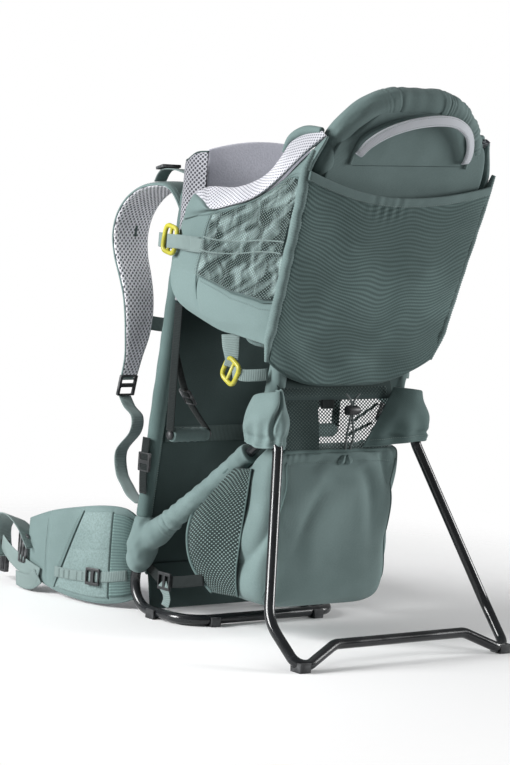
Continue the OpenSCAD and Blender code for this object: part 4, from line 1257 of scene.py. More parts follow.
@dataclass
class RearPanel:
    """The rear panel, its stretch pocket with a hem, and the ribbed piping down both sides."""

    low: float = 345.0
    top: float = 594.6
    hem: float = 13.0
    piping: float = 7.4
    rib: float = 4.2

    def bottom(self, s: float) -> float:
        """Height of the lower edge; s runs from -1 at the left to 1."""
        return self.low + 36 * abs(s) ** 3

    def mouth(self, s: float) -> float:
        """Height of the pocket's mouth, a little higher on the left."""
        return 606 + 26 * s * s - 6 * s * abs(s)

    def board(self, u: float, v: float, off: float) -> Array:
        """A point on the panel itself."""
        s = 2 * u - 1
        z = mix(self.bottom(s), self.top, v)
        return vec(s * Layout.rear_w(z), Layout.rear_y(z) + off, z)

    def face(self, s: float, v: float, off: float) -> Array:
        """A point on the pocket; v runs from its foot to its mouth."""
        z = mix(self.bottom(s) + 3, self.mouth(s), v)
        fold = wander(3, 9, 1.6)
        swell = 7 * math.sin(math.pi / 2 * min(1, 2.2 * v)) * max(0.0, math.cos(math.pi / 2 * s)) ** 0.6
        crease = 1.8 * fold(1.2 * s, 1.5 * v) * hump(v, 0.7)
        crease += 2.0 * bell(v, 0.1, 0.1) * math.sin(9 * s + 16 * v)
        phase = z / 22 + 0.35 * math.sin(3 * s) + 0.5 * fold(s, v)
        ridge = 0.5 * math.sin(2 * math.pi * phase) * hump(v, 0.4)
        pulls = 1.3 * bell(v, 0.94, 0.06) * math.sin(70 * s) * bell(s, -0.12, 0.2)
        return vec(s * (Layout.rear_w(z) - 1.0),
                   Layout.rear_y(z) - 2.4 - off - swell - crease - ridge - pulls, z)

    def build(self) -> None:
        """Make the panel, pocket, hem and piping."""
        board = panel("rear_panel_cloth", DEEP_SAGE_AND_PAINTED_SHADE, lambda u, v: self.board(u, v, -1 - crown(u, v)),
                      lambda u, v: self.board(u, v, 1 + 2.5 * crown(u, v)), 40, 40)
        pad(board, 0.4, "dark_cloth", "rear_panel")
        pocket = layered("stretch_pocket_cloth", KNIT, lambda v, u, off: self.face(2 * u - 1, v, off),
                         3.0, 0.6, 90, 90)
        settle(soften(pocket), "stretch_knit", "stretch_pocket")
        cut(pocket, 305, "stretched", "rear_panel_cloth")
        self.sew_hem()
        for side in (Side.LEFT, Side.RIGHT):
            self.pipe(side)

    def sew_hem(self) -> None:
        """The folded band along the pocket's mouth, with its stitches."""
        n = 110

        def band(u: float, v: float, off: float) -> Array:
            """A point on the hem."""
            s = 2 * u - 1
            drop = self.hem * (1 - v)
            ripple = 0.5 * math.sin(46 * s) * bell(s, -0.1, 0.3)
            return self.face(s, 1.0, off) + vec(0, Layout.REAR_LEAN * drop - ripple, -drop)

        hem = panel("pocket_hem", SAGE, lambda u, v: band(u, v, 4.6 + 0.8 * hump(v)),
                    lambda u, v: band(u, v, 0.2), n, 6)
        settle(soften(hem), "dark_cloth")
        thread = Maker().stitches([band(i / n, 0.12, 4.9) for i in range(n + 1)], REARWARD)
        thread.place("pocket_hem_thread", THREAD, "dark_cloth")

    def pipe(self, side: Side) -> None:
        """The gathered, rope-like binding where panel and wing meet."""
        path = []
        for z in np.linspace(382.0, 664.0 if side is Side.LEFT else 640.0, 131):
            path.append([Layout.rear_w(z) + 1.0 - 0.25 * max(0.0, z - 640), Layout.rear_y(z) + 1.5, z])
        n = 330
        turns = n / self.rib
        lumps = wander(7, 9, 6.0)

        def radius(u: float, angle: float) -> float:
            """Slanted ribs and lumps, with thin ends."""
            ends = min(1.0, 0.4 + 4.0 * min(u, 1 - u))
            slanted = 0.06 * math.sin(2 * math.pi * turns * u + angle)
            bulge = 0.10 * lumps(2 * u, 0.1 * math.sin(angle))
            return self.piping * ends * (1 + (slanted + bulge))

        rope = Maker(side).tube(along(path, n), radius, 14, X)
        rope.place(f"rear_piping_{side.label}", SAGE, "sage_cloth")


@dataclass
class Headrest:
    """The rolled hood over the arch, the head panel inside it, the fleece head pad and the grab handle."""

    roll: tuple[float, ...] = (13.5, 14.5, 15.0, 16.0, 18.0, 19.0, 18.5, 16.5, 12.0, 9.5)
    gathers: int = 9
    piping: Plan = ((-99, 652), (-91, 684), (-62, 702), (-22, 714), (22, 720),
                    (58, 717), (88, 703), (104, 678), (107, 652))
    handle: Plan = ((-91, 660), (-82, 676), (-58, 692), (-22, 704), (20, 710),
                    (54, 708), (82, 695), (97, 674), (101, 654))

    def build(self) -> None:
        """Make every piece of the headrest."""
        self.build_hood()
        self.build_panel()
        self.build_pad()
        self.build_handle()

    @staticmethod
    def path() -> Array:
        """The hood's middle line, from the left foot over to the right."""
        feet = [Layout.upright(z) for z in (588, 598)]
        return np.concatenate([[mirrored(p) for p in feet], Layout.arch(14), feet[::-1]])

    def build_hood(self) -> None:
        """The roll, gathered over its top."""
        lumps = wander(11, 8, 3.0)

        def radius(u: float, angle: float) -> float:
            """The roll's radius, with gathers."""
            base = float(curve(self.roll, u))
            right = step(u, 0.38, 0.5) * (1 - step(u, 0.82, 0.95))
            turn = u * 4.2 + 0.16 * lumps(5 * u, 0.3) + 0.03 * math.sin(angle)
            fold = abs(math.sin(math.pi * self.gathers * turn)) ** 0.5 - 0.7
            knot = 2.5 * bell(u, 0.13, 0.035) - 3.0 * bell(u, 0.19, 0.012) - 2.0 * bell(u, 0.09, 0.012)
            return (base + 3.0 * right * fold * (0.75 + 0.25 * math.cos(angle)) + knot
                    + 0.9 * lumps(3 * u, math.sin(angle)))

        hood = Maker().tube(along(self.path(), 260), radius, 32, (0, 0.96, 0.28)).build("hood_roll", SAGE)
        pad(hood, 0.75, "sage_cloth", "headrest_hood")

    def build_panel(self) -> None:
        """The panel inside the arch and the piping over the handle."""
        fold = wander(21, 7, 1.5)

        def face(u: float, v: float, off: float) -> Array:
            """A point on the panel."""
            s = 2 * u - 1
            z = mix(586, Layout.ARCH[2] - 12, v)
            dent = 2.5 * fold(u, v) * crown(u, v) - 5 * crown(u, v, 0.8)
            high = step(z, 672, 700)
            wrap = (Layout.upright(z)[1] - Layout.rear_y(z)) * step(abs(s), 0.8, 1.0) * high
            half = Layout.arch_in(z, 2) + (1 - high) * (14 if s > 0 else 3)
            return vec(s * half, Layout.rear_y(z) + wrap + off - dent * 0.5, z)

        board = panel("head_panel_cloth", SAGE, lambda u, v: face(u, v, -1.5 - crown(u, v)),
                      lambda u, v: face(u, v, 2.0 + 1.5 * crown(u, v)), 60, 36)
        pad(board, 0.4, "sage_cloth", "head_panel")
        ground = Surface(board)
        arc = [[x, Layout.rear_y(z) - 20, z] for x, z in along(self.piping, 60)]
        places, _ = ground.lay(arc, (0, 1, -0.2), 1.2)
        Maker().tube(places, 2.6, 8, Y).place("head_panel_piping", SAGE, "sage_cloth")
        line = [[x, Layout.rear_y(648) - 20, 648 + 0.02 * x] for x in np.linspace(-92, 100, 60)]
        thread = Maker().stitches(*ground.lay(line, Y, 0.3))
        thread.place("head_panel_thread", DARK_THREAD, "dark_cloth")

    def build_pad(self) -> None:
        """The fleece pad on the child's side."""
        def face(u: float, v: float, out: float) -> Array:
            """A point on the pad, out toward the child."""
            s = 2 * u - 1
            z = mix(618, Layout.ARCH[2] - 33, v)
            quilt = 1 - 0.35 * bell(abs(s), 0.42, 0.05)
            y = Layout.rear_y(z) + 3.9 + out * (2 + 12 * crown(u, v) * quilt)
            return vec(s * Layout.arch_in(z, 30), y, z)

        fleece = layered("head_pad_fleece", FLEECE, face, 1, 0, 48, 24)
        Filling(cap=6).puff(fleece, lambda p: p.y < Layout.rear_y(p.z) + 5.5)
        pad(fleece, 0.7, "fleece", "head_pad")

    def build_handle(self) -> None:
        """The grab band, sewn to the head panel at both feet."""
        def face(u: float, v: float, off: float) -> Array:
            """A point on the band, v across it."""
            x, z = curve(self.handle, u)
            dx, dz = heading(self.handle, u)
            half = 6.0 + 1.2 * math.sin(math.pi * u)
            y = Layout.rear_y(z) - 2.4 - 14 * math.sin(math.pi * u) ** 0.7 - off
            return vec(x, y, z) + unit([-dz, 0, dx]) * half * (2 * v - 1)

        band = panel("grab_band", GREY_BAND, lambda u, v: face(u, v, 4.6 + 0.8 * hump(v)),
                     lambda u, v: face(u, v, 0.6 - 0.4 * hump(v)), 80, 8)
        settle(soften(band), "grab_band", "grab_handle", body="grab_handle")
        cut(band, 14, "stretched")
        thread = Maker()
        for v in (0.16, 0.84):
            thread.stitches([face(i / 70, v, 5.0) for i in range(71)], REARWARD, 3.0, 1.9)
        thread.place("grab_band_thread", THREAD, "grab_band", body="grab_handle")


@dataclass
class SideWing:
    """A side wing: padded cloth with a crumpled net panel, a smooth lower panel and a band under the rim."""

    seam: Plan = ((0.0, 0.44), (0.22, 0.40), (0.4, 0.32), (0.55, 0.25), (0.7, 0.21),
                  (0.83, 0.18), (1.0, 0.17))
    bands: Plan = ((0.0, 0.94), (0.24, 0.94), (0.5, 0.945), (0.72, 0.92),
                   (0.85, 0.86), (0.95, 0.78), (1.0, 0.76))
    front: float = 0.24
    rear: float = 0.955
    thick: float = 13.0

    def seams(self, u: float) -> tuple[float, float]:
        """Heights of the lower panel's upper seam and of the seam under the rim."""
        low, band = (float(np.interp(u, *np.transpose(table))) for table in (self.seam, self.bands))
        return low, band

    def crumple(self, u: float, v: float) -> float:
        """Height of the sharp folds under the net, most of them rising toward the rear."""
        low, band = self.seams(u)
        inside = (step(u, self.front, self.front + 0.06) * (1 - step(u, self.rear - 0.06, self.rear))
                  * step(v, low, low + 0.07) * (1 - step(v, band - 0.07, band)))
        at_y, at_z, angle, half, reach, height = creases(37, 46, 2.3).T
        y, z = Layout.wing_yz(u, v)
        dy, dz = y - at_y, z - at_z
        away = np.abs(dz * np.cos(angle) - dy * np.sin(angle)) / half
        down = (dy * np.cos(angle) + dz * np.sin(angle)) / reach
        ridge = height * np.maximum(0, 1 - away) * np.maximum(0, 1 - down ** 2)
        return inside * float(0.9 * ridge.max() + 0.45 * ridge.sum() - 8.0)

    def face(self, u: float, v: float) -> Array:
        """A point on the outside."""
        low, band = self.seams(u)
        groove = -1.5 * bell(v, low, 0.012) * step(u, self.front - 0.02, self.front)
        groove -= 1.3 * bell(v, band, 0.012)
        groove -= 1.5 * bell(u, self.front, 0.010) * step(v, 0.1, 0.2)
        pillow = 7.0 * hump(v / max(low, 0.05), 0.6) * hump(u, 0.4) if v < low else 0.0
        belt = 3.0 * hump((v - band) / (1 - band), 0.6) if v > band else 0.0
        facet = 0.0
        if u < self.front and v > low:
            facet = 3.0 * hump(u / self.front, 0.6) * hump((v - low) / (1 - low), 0.5)
        edge = min(1.0, 12 * min(u, 1 - u, v, 1 - v))
        return Layout.wing(u, v, (groove + pillow + belt + facet + min(0.0, self.crumple(u, v) - 3.0)) * edge)

    def back(self, u: float, v: float) -> Array:
        """A point on the inside."""
        return Layout.wing(u, v, -3 - (self.thick - 3) * crown(u, v, 0.45))

    def build(self) -> None:
        """Make both wings and what is sewn on them."""
        for made, side in pair(panel("wing_right_cloth", SAGE, self.face, self.back, 110, 84)):
            pad(made, 0.5, "sage_cloth", f"side_wing_{side}")
        for piece in self.overlays():
            for made, side in pair(piece):
                settle(made, "net" if "net" in made.name else "sage_cloth")
        for side in ("left", "right"):
            cut(bpy.data.objects[f"wing_{side}_net"], 170, "stretched", f"wing_{side}_cloth")

    def overlays(self) -> list[Piece]:
        """The net and its lining, the seams, the flat tapes and the tab, for the right wing."""
        def net(u: float, v: float, lift: float, follow: float) -> Array:
            """A point on the net or on its lining, which follows the folds more."""
            a = mix(self.front + 0.01, self.rear, u)
            low, band = self.seams(a)
            b = mix(low + 0.01, band - 0.005, v)
            return Layout.wing(a, b, lift + follow * self.crumple(a, b))

        piping, thread, tape = Maker(), Maker(), Maker()
        for line in ([(u, self.seams(u)[0]) for u in np.linspace(self.front, 0.985, 70)],
                     [(self.front, v) for v in np.linspace(0.22, 0.94, 50)],
                     [(u, self.seams(u)[1]) for u in np.linspace(self.front, 0.985, 60)]):
            piping.tube([Layout.wing(u, v, 1.2) for u, v in line], 1.0, 7, X)
        for row in ([(u, self.seams(u)[0] - 0.03) for u in np.linspace(self.front + 0.02, 0.97, 90)],
                    [(u, self.seams(u)[1] + 0.02) for u in np.linspace(self.front + 0.02, 0.97, 80)]):
            thread.stitches([self.face(u, v) + vec(0.4, 0, 0) for u, v in row], X)
        for a, b in (((0.26, 0.72), (0.955, 0.43)), ((0.25, 0.61), (0.955, 0.365))):
            tape.strap([Layout.wing(u, v, 9.0 + 0.5 * self.crumple(u, v)) for u, v in np.linspace(a, b, 40)],
                       (0, 0.1, 1), 1.7, 0.9, 50)
        return [skin("wing_right_net", NET, lambda u, v: net(u, v, 8.0, 0.5), 80, 60, 0.5),
                # the lining's colour carries painted light and shade of its folds
                skin("wing_right_net_lining", PAINTED_CREASES, lambda u, v: net(u, v, 0.6, 1.0), 120, 90, 0.5),
                piping.build("wing_right_seams", DEEP_SAGE_AND_PAINTED_SHADE), thread.build("wing_right_thread", THREAD),
                tape.build("wing_right_tapes", WEB), self.tab()]

    @staticmethod
    def tab() -> Piece:
        """The webbing tab sewn on the front panel, with zigzag bar tacks."""
        def place(u: float, lift: float) -> Array:
            """A point on the tab's middle line."""
            return Layout.wing(u, mix(0.66, 0.64, u / 0.26), lift)

        maker = Maker()
        maker.strap([place(u, 3.2 + 0.6 * math.sin(9 * u)) for u in np.linspace(0.05, 0.26, 14)], Z, 19, 1.6)
        for u in (0.10, 0.20):
            maker.tube(zigzag(place(u, 4.3), 2.2, 8.5, 1.7, 11), 0.5, 5, X)
        return maker.build("wing_right_tab", WEB)


@dataclass
class Cockpit:
    """Rim pads, front wall, chin pad, seat sling and the child's harness."""

    wall_plan: Plan = ((-135, -34), (-139, -14), (-138, 7), (-122, 18.4),
                       (-56, 20.8), (0, 20.4))
    wall_tops: tuple[float, ...] = (646, 643, 631, 634, 645, 646)
    spine: Plan = ((-199.4, 406), (-150, 388), (-90, 384), (-40, 396), (8, 430),
                   (21.5, 452))
    seat_half: tuple[float, ...] = (96, 96, 82, 62, 74, 92)

    def build(self) -> None:
        """Make every piece of the cockpit."""
        self.build_rims()
        self.build_wall()
        self.build_chin()
        self.build_sling()
        self.build_harness()

    def build_rims(self) -> None:
        """The perforated pads along the wings' tops: a wide facet outside, cloth at both ends."""
        n, m = 110, 12
        rings = []
        for i in range(n + 1):
            u = i / n
            low, high = Layout.rim(u, False), Layout.rim(u, True)
            out = unit(np.cross(high - low, Layout.rim(min(1, u + 0.02), True) - Layout.rim(u - 0.02, True)))
            out = out if out[0] > 0 else -out
            deep = min(1.0, float(np.linalg.norm(high - low)) / 20)
            row = [low + (high - low) * j / m + out * deep * (3.0 * hump(j / m, 0.35) - 1)
                   for j in range(m + 1)]
            for share, sunk in ((0.0, (-3.0, 0, -5.0)), (0.35, (-9.0, 0, -9.0)), (0.8, (-8.0, 0, -5.0))):
                row.append(mix(high, low, share) + deep * np.array(sunk))
            rings.append(row)
        maker = Maker()
        index = maker.grid(rings, wrap=True)
        for row in (index[0], index[-1]):
            maker.face(row)
        for made, _ in pair(maker.build("rim_right_mesh", SPACER)):
            pad(made, 0.85, "spacer_mesh", "rim_pads")
        for made, _ in pair(self.rim_caps()):
            settle(soften(made), "sage_cloth")

    @staticmethod
    def rim_caps() -> Piece:
        """The cloth at the right rim pad's ends: a cap at the front and a tail at the rear."""
        foot = along([Layout.wing(0.0, 1.0), Layout.wing(0.12, 1.0), Layout.wing(0.27, 1.0)], 8)
        edge = [Layout.rim(t, False) for t in np.linspace(0, 0.235, 9)]
        rows = np.linspace(-0.35, 1.02, 12)
        outer = [[mix(a, b, t) + vec(0.4 + 2.2 * step(t, -0.35, 0.2) + 2.5 * hump(t), 0, 0) for t in rows]
                 for a, b in zip(foot, edge)]
        inner = [[mix(a, b, t) - vec(5.0, 0, 0) for t in rows] for a, b in zip(foot, edge)]
        tail = along([[136, -190, 656], [136, -204, 675], [138, -234, 687], [143, -272, 689]], 30)
        cloth = Maker().slab(outer, inner).tube(tail, [2.5, 5.5, 6.5, 4.5], 12, X)
        return cloth.build("rim_right_caps", SAGE)

    def wall(self, u: float, v: float, off: float) -> Array:
        """A point on the front wall; u runs from the left wing round to the right."""
        def plan(a: float) -> Array:
            """The wall's plan path."""
            q = curve(self.wall_plan, 2 * a if a <= 0.5 else 2 - 2 * a)
            return np.array([q[0] if a <= 0.5 else -q[0], q[1]])

        q = plan(u)
        d = plan(min(1, u + 0.02)) - plan(max(0, u - 0.02))
        inward = 1 - abs(2 * u - 1)
        z = mix(440, float(curve(self.wall_tops, inward)), v)
        y = q[1] + step(inward, 0.3, 0.8) * (Layout.back_y(z) - Layout.back_y(600))
        return vec(q[0], y, z) + unit([-d[1], d[0], 0]) * off

    def build_wall(self) -> None:
        """The wall's mesh, dark outside and pale inside, and its bound top edge."""
        out = panel("front_wall_outside", WALL_MESH, lambda u, v: self.wall(u, v, 1.2 + 2.2 * crown(u, v)),
                    lambda u, v: self.wall(u, v, 0.1), 70, 24)
        pad(out, 0.5, "spacer_mesh", "front_wall")
        mesh = panel("front_wall_mesh", SPACER, lambda u, v: self.wall(u, v, -0.1),
                     lambda u, v: self.wall(u, v, -1.2 - 2.4 * crown(u, v)), 70, 24)
        pad(mesh, 0.5, "spacer_mesh")
        edge = Maker().tube([self.wall(u, 1.0, 0.0) for u in np.linspace(0, 1, 90)], 1.3, 10, (0.3, 0.6, 0.2))
        edge.place("front_wall_binding", SHADE_CLOTH, "dark_cloth")

    @staticmethod
    def build_chin() -> None:
        """The fleece chin pad on the wall's inside."""
        def face(u: float, v: float, out: float) -> Array:
            """A point on the pad, out toward the child."""
            z = mix(572, 661 - 14 * (2 * u - 1) ** 2, v)
            return vec(mix(-101, 101, u), Layout.back_y(z) - 20.4 - out * (2 + 10 * crown(u, v)), z)

        fleece = layered("chin_pad_fleece", FLEECE, face, 1, 0, 52, 24)
        Filling(cap=5).puff(fleece, lambda p: p.y > Layout.back_y(p.z) - 22)
        pad(fleece, 0.8, "fleece", "chin_pad")

    def build_sling(self) -> None:
        """The seat: a padded sling, narrow between the legs, with bound edges."""
        def face(u: float, v: float, out: float) -> Array:
            """A point on the sling, out upward."""
            q, w, s = curve(self.spine, u), float(curve(self.seat_half, u)), 2 * v - 1
            return vec(s * w, q[0], q[1] + 10 * s * s + out * (1.5 + 3 * crown(u, v)))

        sling = layered("seat_sling_cloth", SHADE_CLOTH, face, 1, -1, 60, 36)
        pad(sling, 0.5, "dark_cloth", "seat_sling")
        edge = Maker()
        for v in (0.0, 1.0):
            edge.tube([face(u, v, 0) for u in np.linspace(0, 1, 60)], 2.6, 8, Z)
        edge.place("seat_sling_binding", SAGE, "sage_cloth")

    @staticmethod
    def build_harness() -> None:
        """Two padded shoulder straps with slides, and a crotch strap."""
        pads, webs, clips = Maker(), Maker(), Maker()
        for side in (Side.LEFT, Side.RIGHT):
            def place(z: float, off: float) -> Array:
                """A point on the strap's middle line, off the rear panel."""
                return vec(side.value * (38 + (592 - z) * 0.1), Layout.rear_y(z) + off, z)

            line = [place(z, 8.4) for z in (592, 550, 500, 450, 424)]

            def face(u: float, v: float, base: float, swell: float) -> Array:
                """A point on the strap's pad."""
                return curve(line, u) + vec(38 * (v - 0.5), base + swell * crown(u, v), 0)

            pads.slab(lattice(lambda u, v: face(u, v, 0.8, 3.2), 40, 8),
                      lattice(lambda u, v: face(u, v, -0.8, -2.6), 40, 8))
            webs.strap([place(z, 13.4) for z in (586, 540, 500, 460, 432)], X, 20, 1.5)
            c = place(470, 14.6)
            for dz in (-9, 0, 9):
                clips.tube([c + [-13, 0, dz], c + [13, 0, dz]], 1.9, 8)
            for dx in (-12, 12):
                clips.tube([c + [dx, 0, -9], c + [dx, 0, 9]], 1.9, 8)
        webs.strap([[0, -92, 390.6], [0, -112, 396], [0, -128, 410], [0, -138, 430]], X, 30, 3.4)
        pad(pads.build("child_strap_pads", SHADE_CLOTH), 0.6, "dark_cloth", "child_harness")
        webs.place("child_strap_webs", DARK_WEB_AND_SLOT_SHADOW, "webbing")
        clips.place("child_strap_slides", BLACK_PLASTIC, "black_plastic")


@dataclass(frozen=True)
class HubCover:
    """The cloth about one of the kickstand's hubs, bunched and hemmed."""

    side: Side
    finish: Cloth
    seed: int
    broad: bool
    plan: Plan

    def face(self, u: float, v: float, inside: float) -> Array:
        """A point on the cover; inside is 0 on its outer and 1 on its inner face."""
        q = curve(self.plan, u)
        d = heading(self.plan, u, 0.03)
        k = unit([d[1], -d[0]])
        bunch = (3.2 * math.sin(11 * u * math.pi + 4 * v + self.seed) * bell(v, 0.1, 0.3)
                 + 3.4 * wander(self.seed, 8, 1.4)(2 * u, 1.5 * v) * hump(v, 0.6) - 3.5 * bell(v, 0.16, 0.05))
        if self.broad:
            form = -16 * step(v, 0.45, 1.0) * step(u, 0.25, 0.75) + 2.2 * (1 - step(v, 0.13, 0.16))
            rise, fall, lean = 12 * u, 30, mix(-38, 14, v) * (1 - u) ** 3
        else:
            form = -9 * bell(u, 0.34 + 0.08 * math.sin(5 * v), 0.03) * step(v, 0.1, 0.3)
            rise, fall, lean = 0.0, 16, 0.0
        out = (5 * math.sin(math.pi * v) - 7 * v * v - inside * 3 + form
               + bunch * min(1, 8 * min(u, 1 - u)) * hump(0.05 + 0.9 * v, 0.4))
        z = mix(268 + 1.5 * math.sin(11 * u + self.seed) + rise, 345 - fall * u * u, v)
        return vec(q[0] + k[0] * out + lean, q[1] + k[1] * out, z)

    def build(self) -> None:
        """Make the cover, its hem and its stitches."""
        name, flip = f"hub_cover_{self.side.label}", self.side.flip
        cover = layered(name, self.finish, lambda u, v, inside: self.face(u, v, inside) * flip, 0, 1, 70, 26)
        settle(soften(cover), "sage_cloth", "hub_sleeves")
        cut(cover, 150, "gathered")
        hem, thread = Maker(self.side), Maker(self.side)
        hem.tube([self.face(u, 0.0, 0.5) for u in np.linspace(0, 1, 70)], 2.0, 8, Z)
        hem.place(f"{name}_hem", self.finish, "sage_cloth")
        thread.stitches([self.face(u, 0.10, -0.12) for u in np.linspace(0.03, 0.97, 90)], REARWARD)
        thread.place(f"{name}_thread", THREAD, "sage_cloth")


@dataclass
class LowerBody:
    """Hub covers, waist net, storage bag, side nets and the struts' covers."""

    rings: tuple[tuple[float, float, float, float], ...] = (
        (45, -92, -172, 76), (48, -74, -184, 92), (58, -58, -193, 105), (80, -48, -198, 112),
        (115, -45, -200, 116), (155, -52, -202, 116), (200, -84, -203, 115), (238, -118, -203, 112),
        (256, -140, -202, 108), (263, -146, -199.6, 102))
    hubs: tuple[HubCover, ...] = (
        # the right cover takes the darker sage as painted shade; the left one's same cloth is plain sage
        HubCover(Side.RIGHT, DEEP_SAGE_AND_PAINTED_SHADE, 61, True,
                 ((66, -203), (84, -213), (108, -219), (132, -215), (147, -200),
                  (150, -174), (146, -150), (138, -138))),
        HubCover(Side.LEFT, SAGE, 67, False, ((108, -197), (114, -207), (125, -210), (134, -203), (138, -188),
                                              (138, -170), (134, -154), (128, -142))))
    net_front: Plan = ((-72, 50), (-38, 82), (-26, 130), (-52, 182), (-104, 226))
    net_rear: Plan = ((-128, 54), (-134, 100), (-140, 150), (-146, 196), (-150, 232))

    def build(self) -> None:
        """Make every piece below the seat."""
        self.build_bag()
        self.build_nets()
        for hub in self.hubs:
            hub.build()
        self.build_waist()
        self.build_struts()
        for side in Side:
            self.build_cuff(side)
        self.build_apron()

    def bag(self, a: float, t: float) -> Array:
        """A point on the bag: a turns round it, t runs from its floor to its neck."""
        z, front, rear, half = curve(self.rings, t)
        c, s = math.cos(a), math.sin(a)
        e = 0.46 if s < 0 else 0.62
        lie = wander(41, 8, 1.2)
        x = half * math.copysign(abs(c) ** e, c)
        y = (front + rear) / 2 + (front - rear) / 2 * math.copysign(abs(s) ** e, s)
        at_rear = step(-s, 0.3, 0.8)
        spread = math.atan2(x - 4, 280 - z)
        rays = 8.0 * (abs(math.sin(5.5 * spread + 1.3 * lie(0.012 * x, 2 * t))) - 0.6)
        rays *= (0.35 + 0.65 * step(z, 60, 200)) * at_rear
        tall = 10.0 * (abs(math.sin(4.5 * a + 1.9 * math.sin(0.026 * z) + 0.6)) ** 0.7 - 0.6)
        tall *= (1 - at_rear) * hump(t, 0.5)
        neck = 1.8 * math.sin(30 * a + 2 * math.sin(3 * a)) * bell(t, 0.95, 0.10)
        sag = 4.0 * lie(a / 3, 2.2 * t) * hump(t, 0.6)
        return vec(x, y, z) + unit([c, s, 0]) * (rays + tall + neck + sag - 2.0)

    def build_bag(self) -> None:
        """The storage bag, a sagging shell with a floor, and what is sewn on its rear."""
        n, m = 110, 72
        maker = Maker()
        index = maker.grid([[self.bag(2 * math.pi * i / n, j / m) for i in range(n)] for j in range(m + 1)],
                           wrap=True)
        for row, z in ((index[0], 43.5), (index[-1], 262.0)):
            last = row
            ring = [np.array(maker.points[k]) for k in row]
            middle = np.mean(ring, axis=0)
            middle[2] = z
            for share in (0.75, 0.4):
                here = maker.add([[*mix(middle, p, share)[:2], mix(z, p[2], share ** 3)] for p in ring])
                maker.band(last, here, wrap=True)
                last = here
            maker.fan(last, maker.add([middle])[0])
        bag = maker.build("storage_bag_cloth", SAGE)
        pad(bag, 0.3, "sage_cloth", "storage_bag")
        self.trim_bag(Surface(bag))

    @staticmethod
    def trim_bag(ground: Surface) -> None:
        """Seams, stitches and the two puckered loops on the bag's rear."""
        thread, seams, loops = Maker(), Maker(), Maker()

        def fall(line: Sequence[Sequence[float]], lift: float) -> tuple[Array, Array]:
            """Points of x and z dropped on the bag from behind."""
            return ground.lay([[x, -240, z] for x, z in line], Y, lift)

        def pucker(u: float, angle: float) -> float:
            """A loop's radius."""
            return float(curve([1.8, 4.2, 5.0, 2.0], u)) + 0.5 * math.sin(5 * angle)

        thread.stitches(*fall([(x, 246 - 0.02 * abs(x)) for x in np.linspace(-88, 88, 70)], 0.3))
        for s in (-1, 1):
            places, normals = fall([(s * mix(101, 96, i / 60), mix(60, 246, i / 60)) for i in range(61)], 0.2)
            seams.tube(places, 1.1, 6, X)
            thread.stitches(places + vec(-s * 5, 0, 0) + normals * 0.4, normals)
            places, _ = fall([(s * mix(2.5, 10.5, t), mix(254, 242, t)) for t in np.linspace(0, 1, 16)], 0.8)
            loops.tube(places, pucker, 18, X)
        thread.place("storage_bag_thread", THREAD, "sage_cloth")
        seams.place("storage_bag_seams", DEEP_SAGE_AND_PAINTED_SHADE, "dark_cloth")
        pad(loops.build("bag_neck_loops", SAGE), 0.4, "sage_cloth")

    def build_nets(self) -> None:
        """The net pockets on the bag's sides, with bound mouths."""
        sag = wander(51, 6, 1.6)

        def face(u: float, v: float, off: float = 0.0) -> Array:
            """A point on the right net."""
            y, z = mix(curve(self.net_front, v), curve(self.net_rear, v), u)
            foot = 10 * max(0.0, 1 - (z - 54) / 50) ** 2
            return vec(119.5 - foot + off + 4.5 * crown(u, v, 0.7) + 1.2 * sag(u, v) * crown(u, v), y, z)

        for made, _ in pair(skin("side_net_right", COARSE_NET, face, 36, 60, 0.5)):
            settle(made, "net", "mesh_pockets")
            cut(made, 75, "gathered")
        rim = Maker()
        rim.tube([face(0, v, 0.6) for v in np.linspace(0, 1, 60)], 2.2, 8, X)
        rim.tube([face(1, v, 0.4) for v in np.linspace(0, 1, 50)], 1.2, 6, X)
        # the near-black sheet behind each net is painted shadow inside the pocket
        for piece in (rim.build("side_net_right_edge", DEEP_SAGE_AND_PAINTED_SHADE),
                      layered("side_net_right_lining", NET_SHADOW_SHEET, face, -1.4, -2.6, 18, 30)):
            for made, _ in pair(piece):
                settle(made, "dark_cloth")

    @staticmethod
    def build_waist() -> None:
        """The net at the bag's neck, lined on its left half."""
        def face(u: float, v: float, off: float) -> Array:
            """A point on the net."""
            bulge = 3 * math.cos(math.pi / 2 * (2 * u - 1)) * math.sin(math.pi * v)
            pull = 3.0 * math.sin(24 * u) * bell(v, 0.0, 0.3)
            return vec(mix(-112, 76.4, u), mix(-200.6, -186.6, v) - off - bulge - 0.5 * pull,
                       mix(261, 345, v))

        def band(u: float, v: float, off: float) -> Array:
            """A point on the band above the net."""
            return face(mix(-0.02, 1.06, u), mix(0.8, 1.42, v), off - 9 * v)

        net = skin("waist_net", DARK_NET, lambda u, v: face(u, v, 2.4), 60, 36, 0.5)
        cut(settle(net, "net", "waist_mesh"), 188, "stretched")
        lining = layered("waist_lining", SHADE_CLOTH, lambda u, v, off: face(0.34 * u, v, off),
                         1.2, 0.2, 30, 24)
        for cloth, width in ((lining, 64), (layered("waist_band", SHADE_CLOTH, band, 3.4, 2.6, 40, 12), 200)):
            settle(soften(cloth), "dark_cloth")
            cut(cloth, width, "stretched")
        edge = Maker().tube([face(u, 0.0, 2.2) for u in np.linspace(0, 1, 60)], 2.4, 8, Z)
        edge.place("waist_net_binding", DEEP_SAGE_AND_PAINTED_SHADE, "dark_cloth")
        ties = Maker().strap([face(u, 0.74, 3.4) for u in (0.36, 0.42, 0.48)], Z, 12, 1.2)
        for a, b in (((0.93, 0.72), (0.66, 0.44)), ((0.86, 0.42), (0.60, 0.22))):
            ties.strap([face(mix(a[0], b[0], t), mix(a[1], b[1], t), -2.0) for t in (0, 0.5, 1)], Z, 4, 1.2)
        ties.place("waist_ties", BLACK_WEB, "webbing")

    @staticmethod
    def build_struts() -> None:
        """The wrinkled covers on the struts, bunched at their lower ends."""
        lumps = wander(71, 9, 3.0)

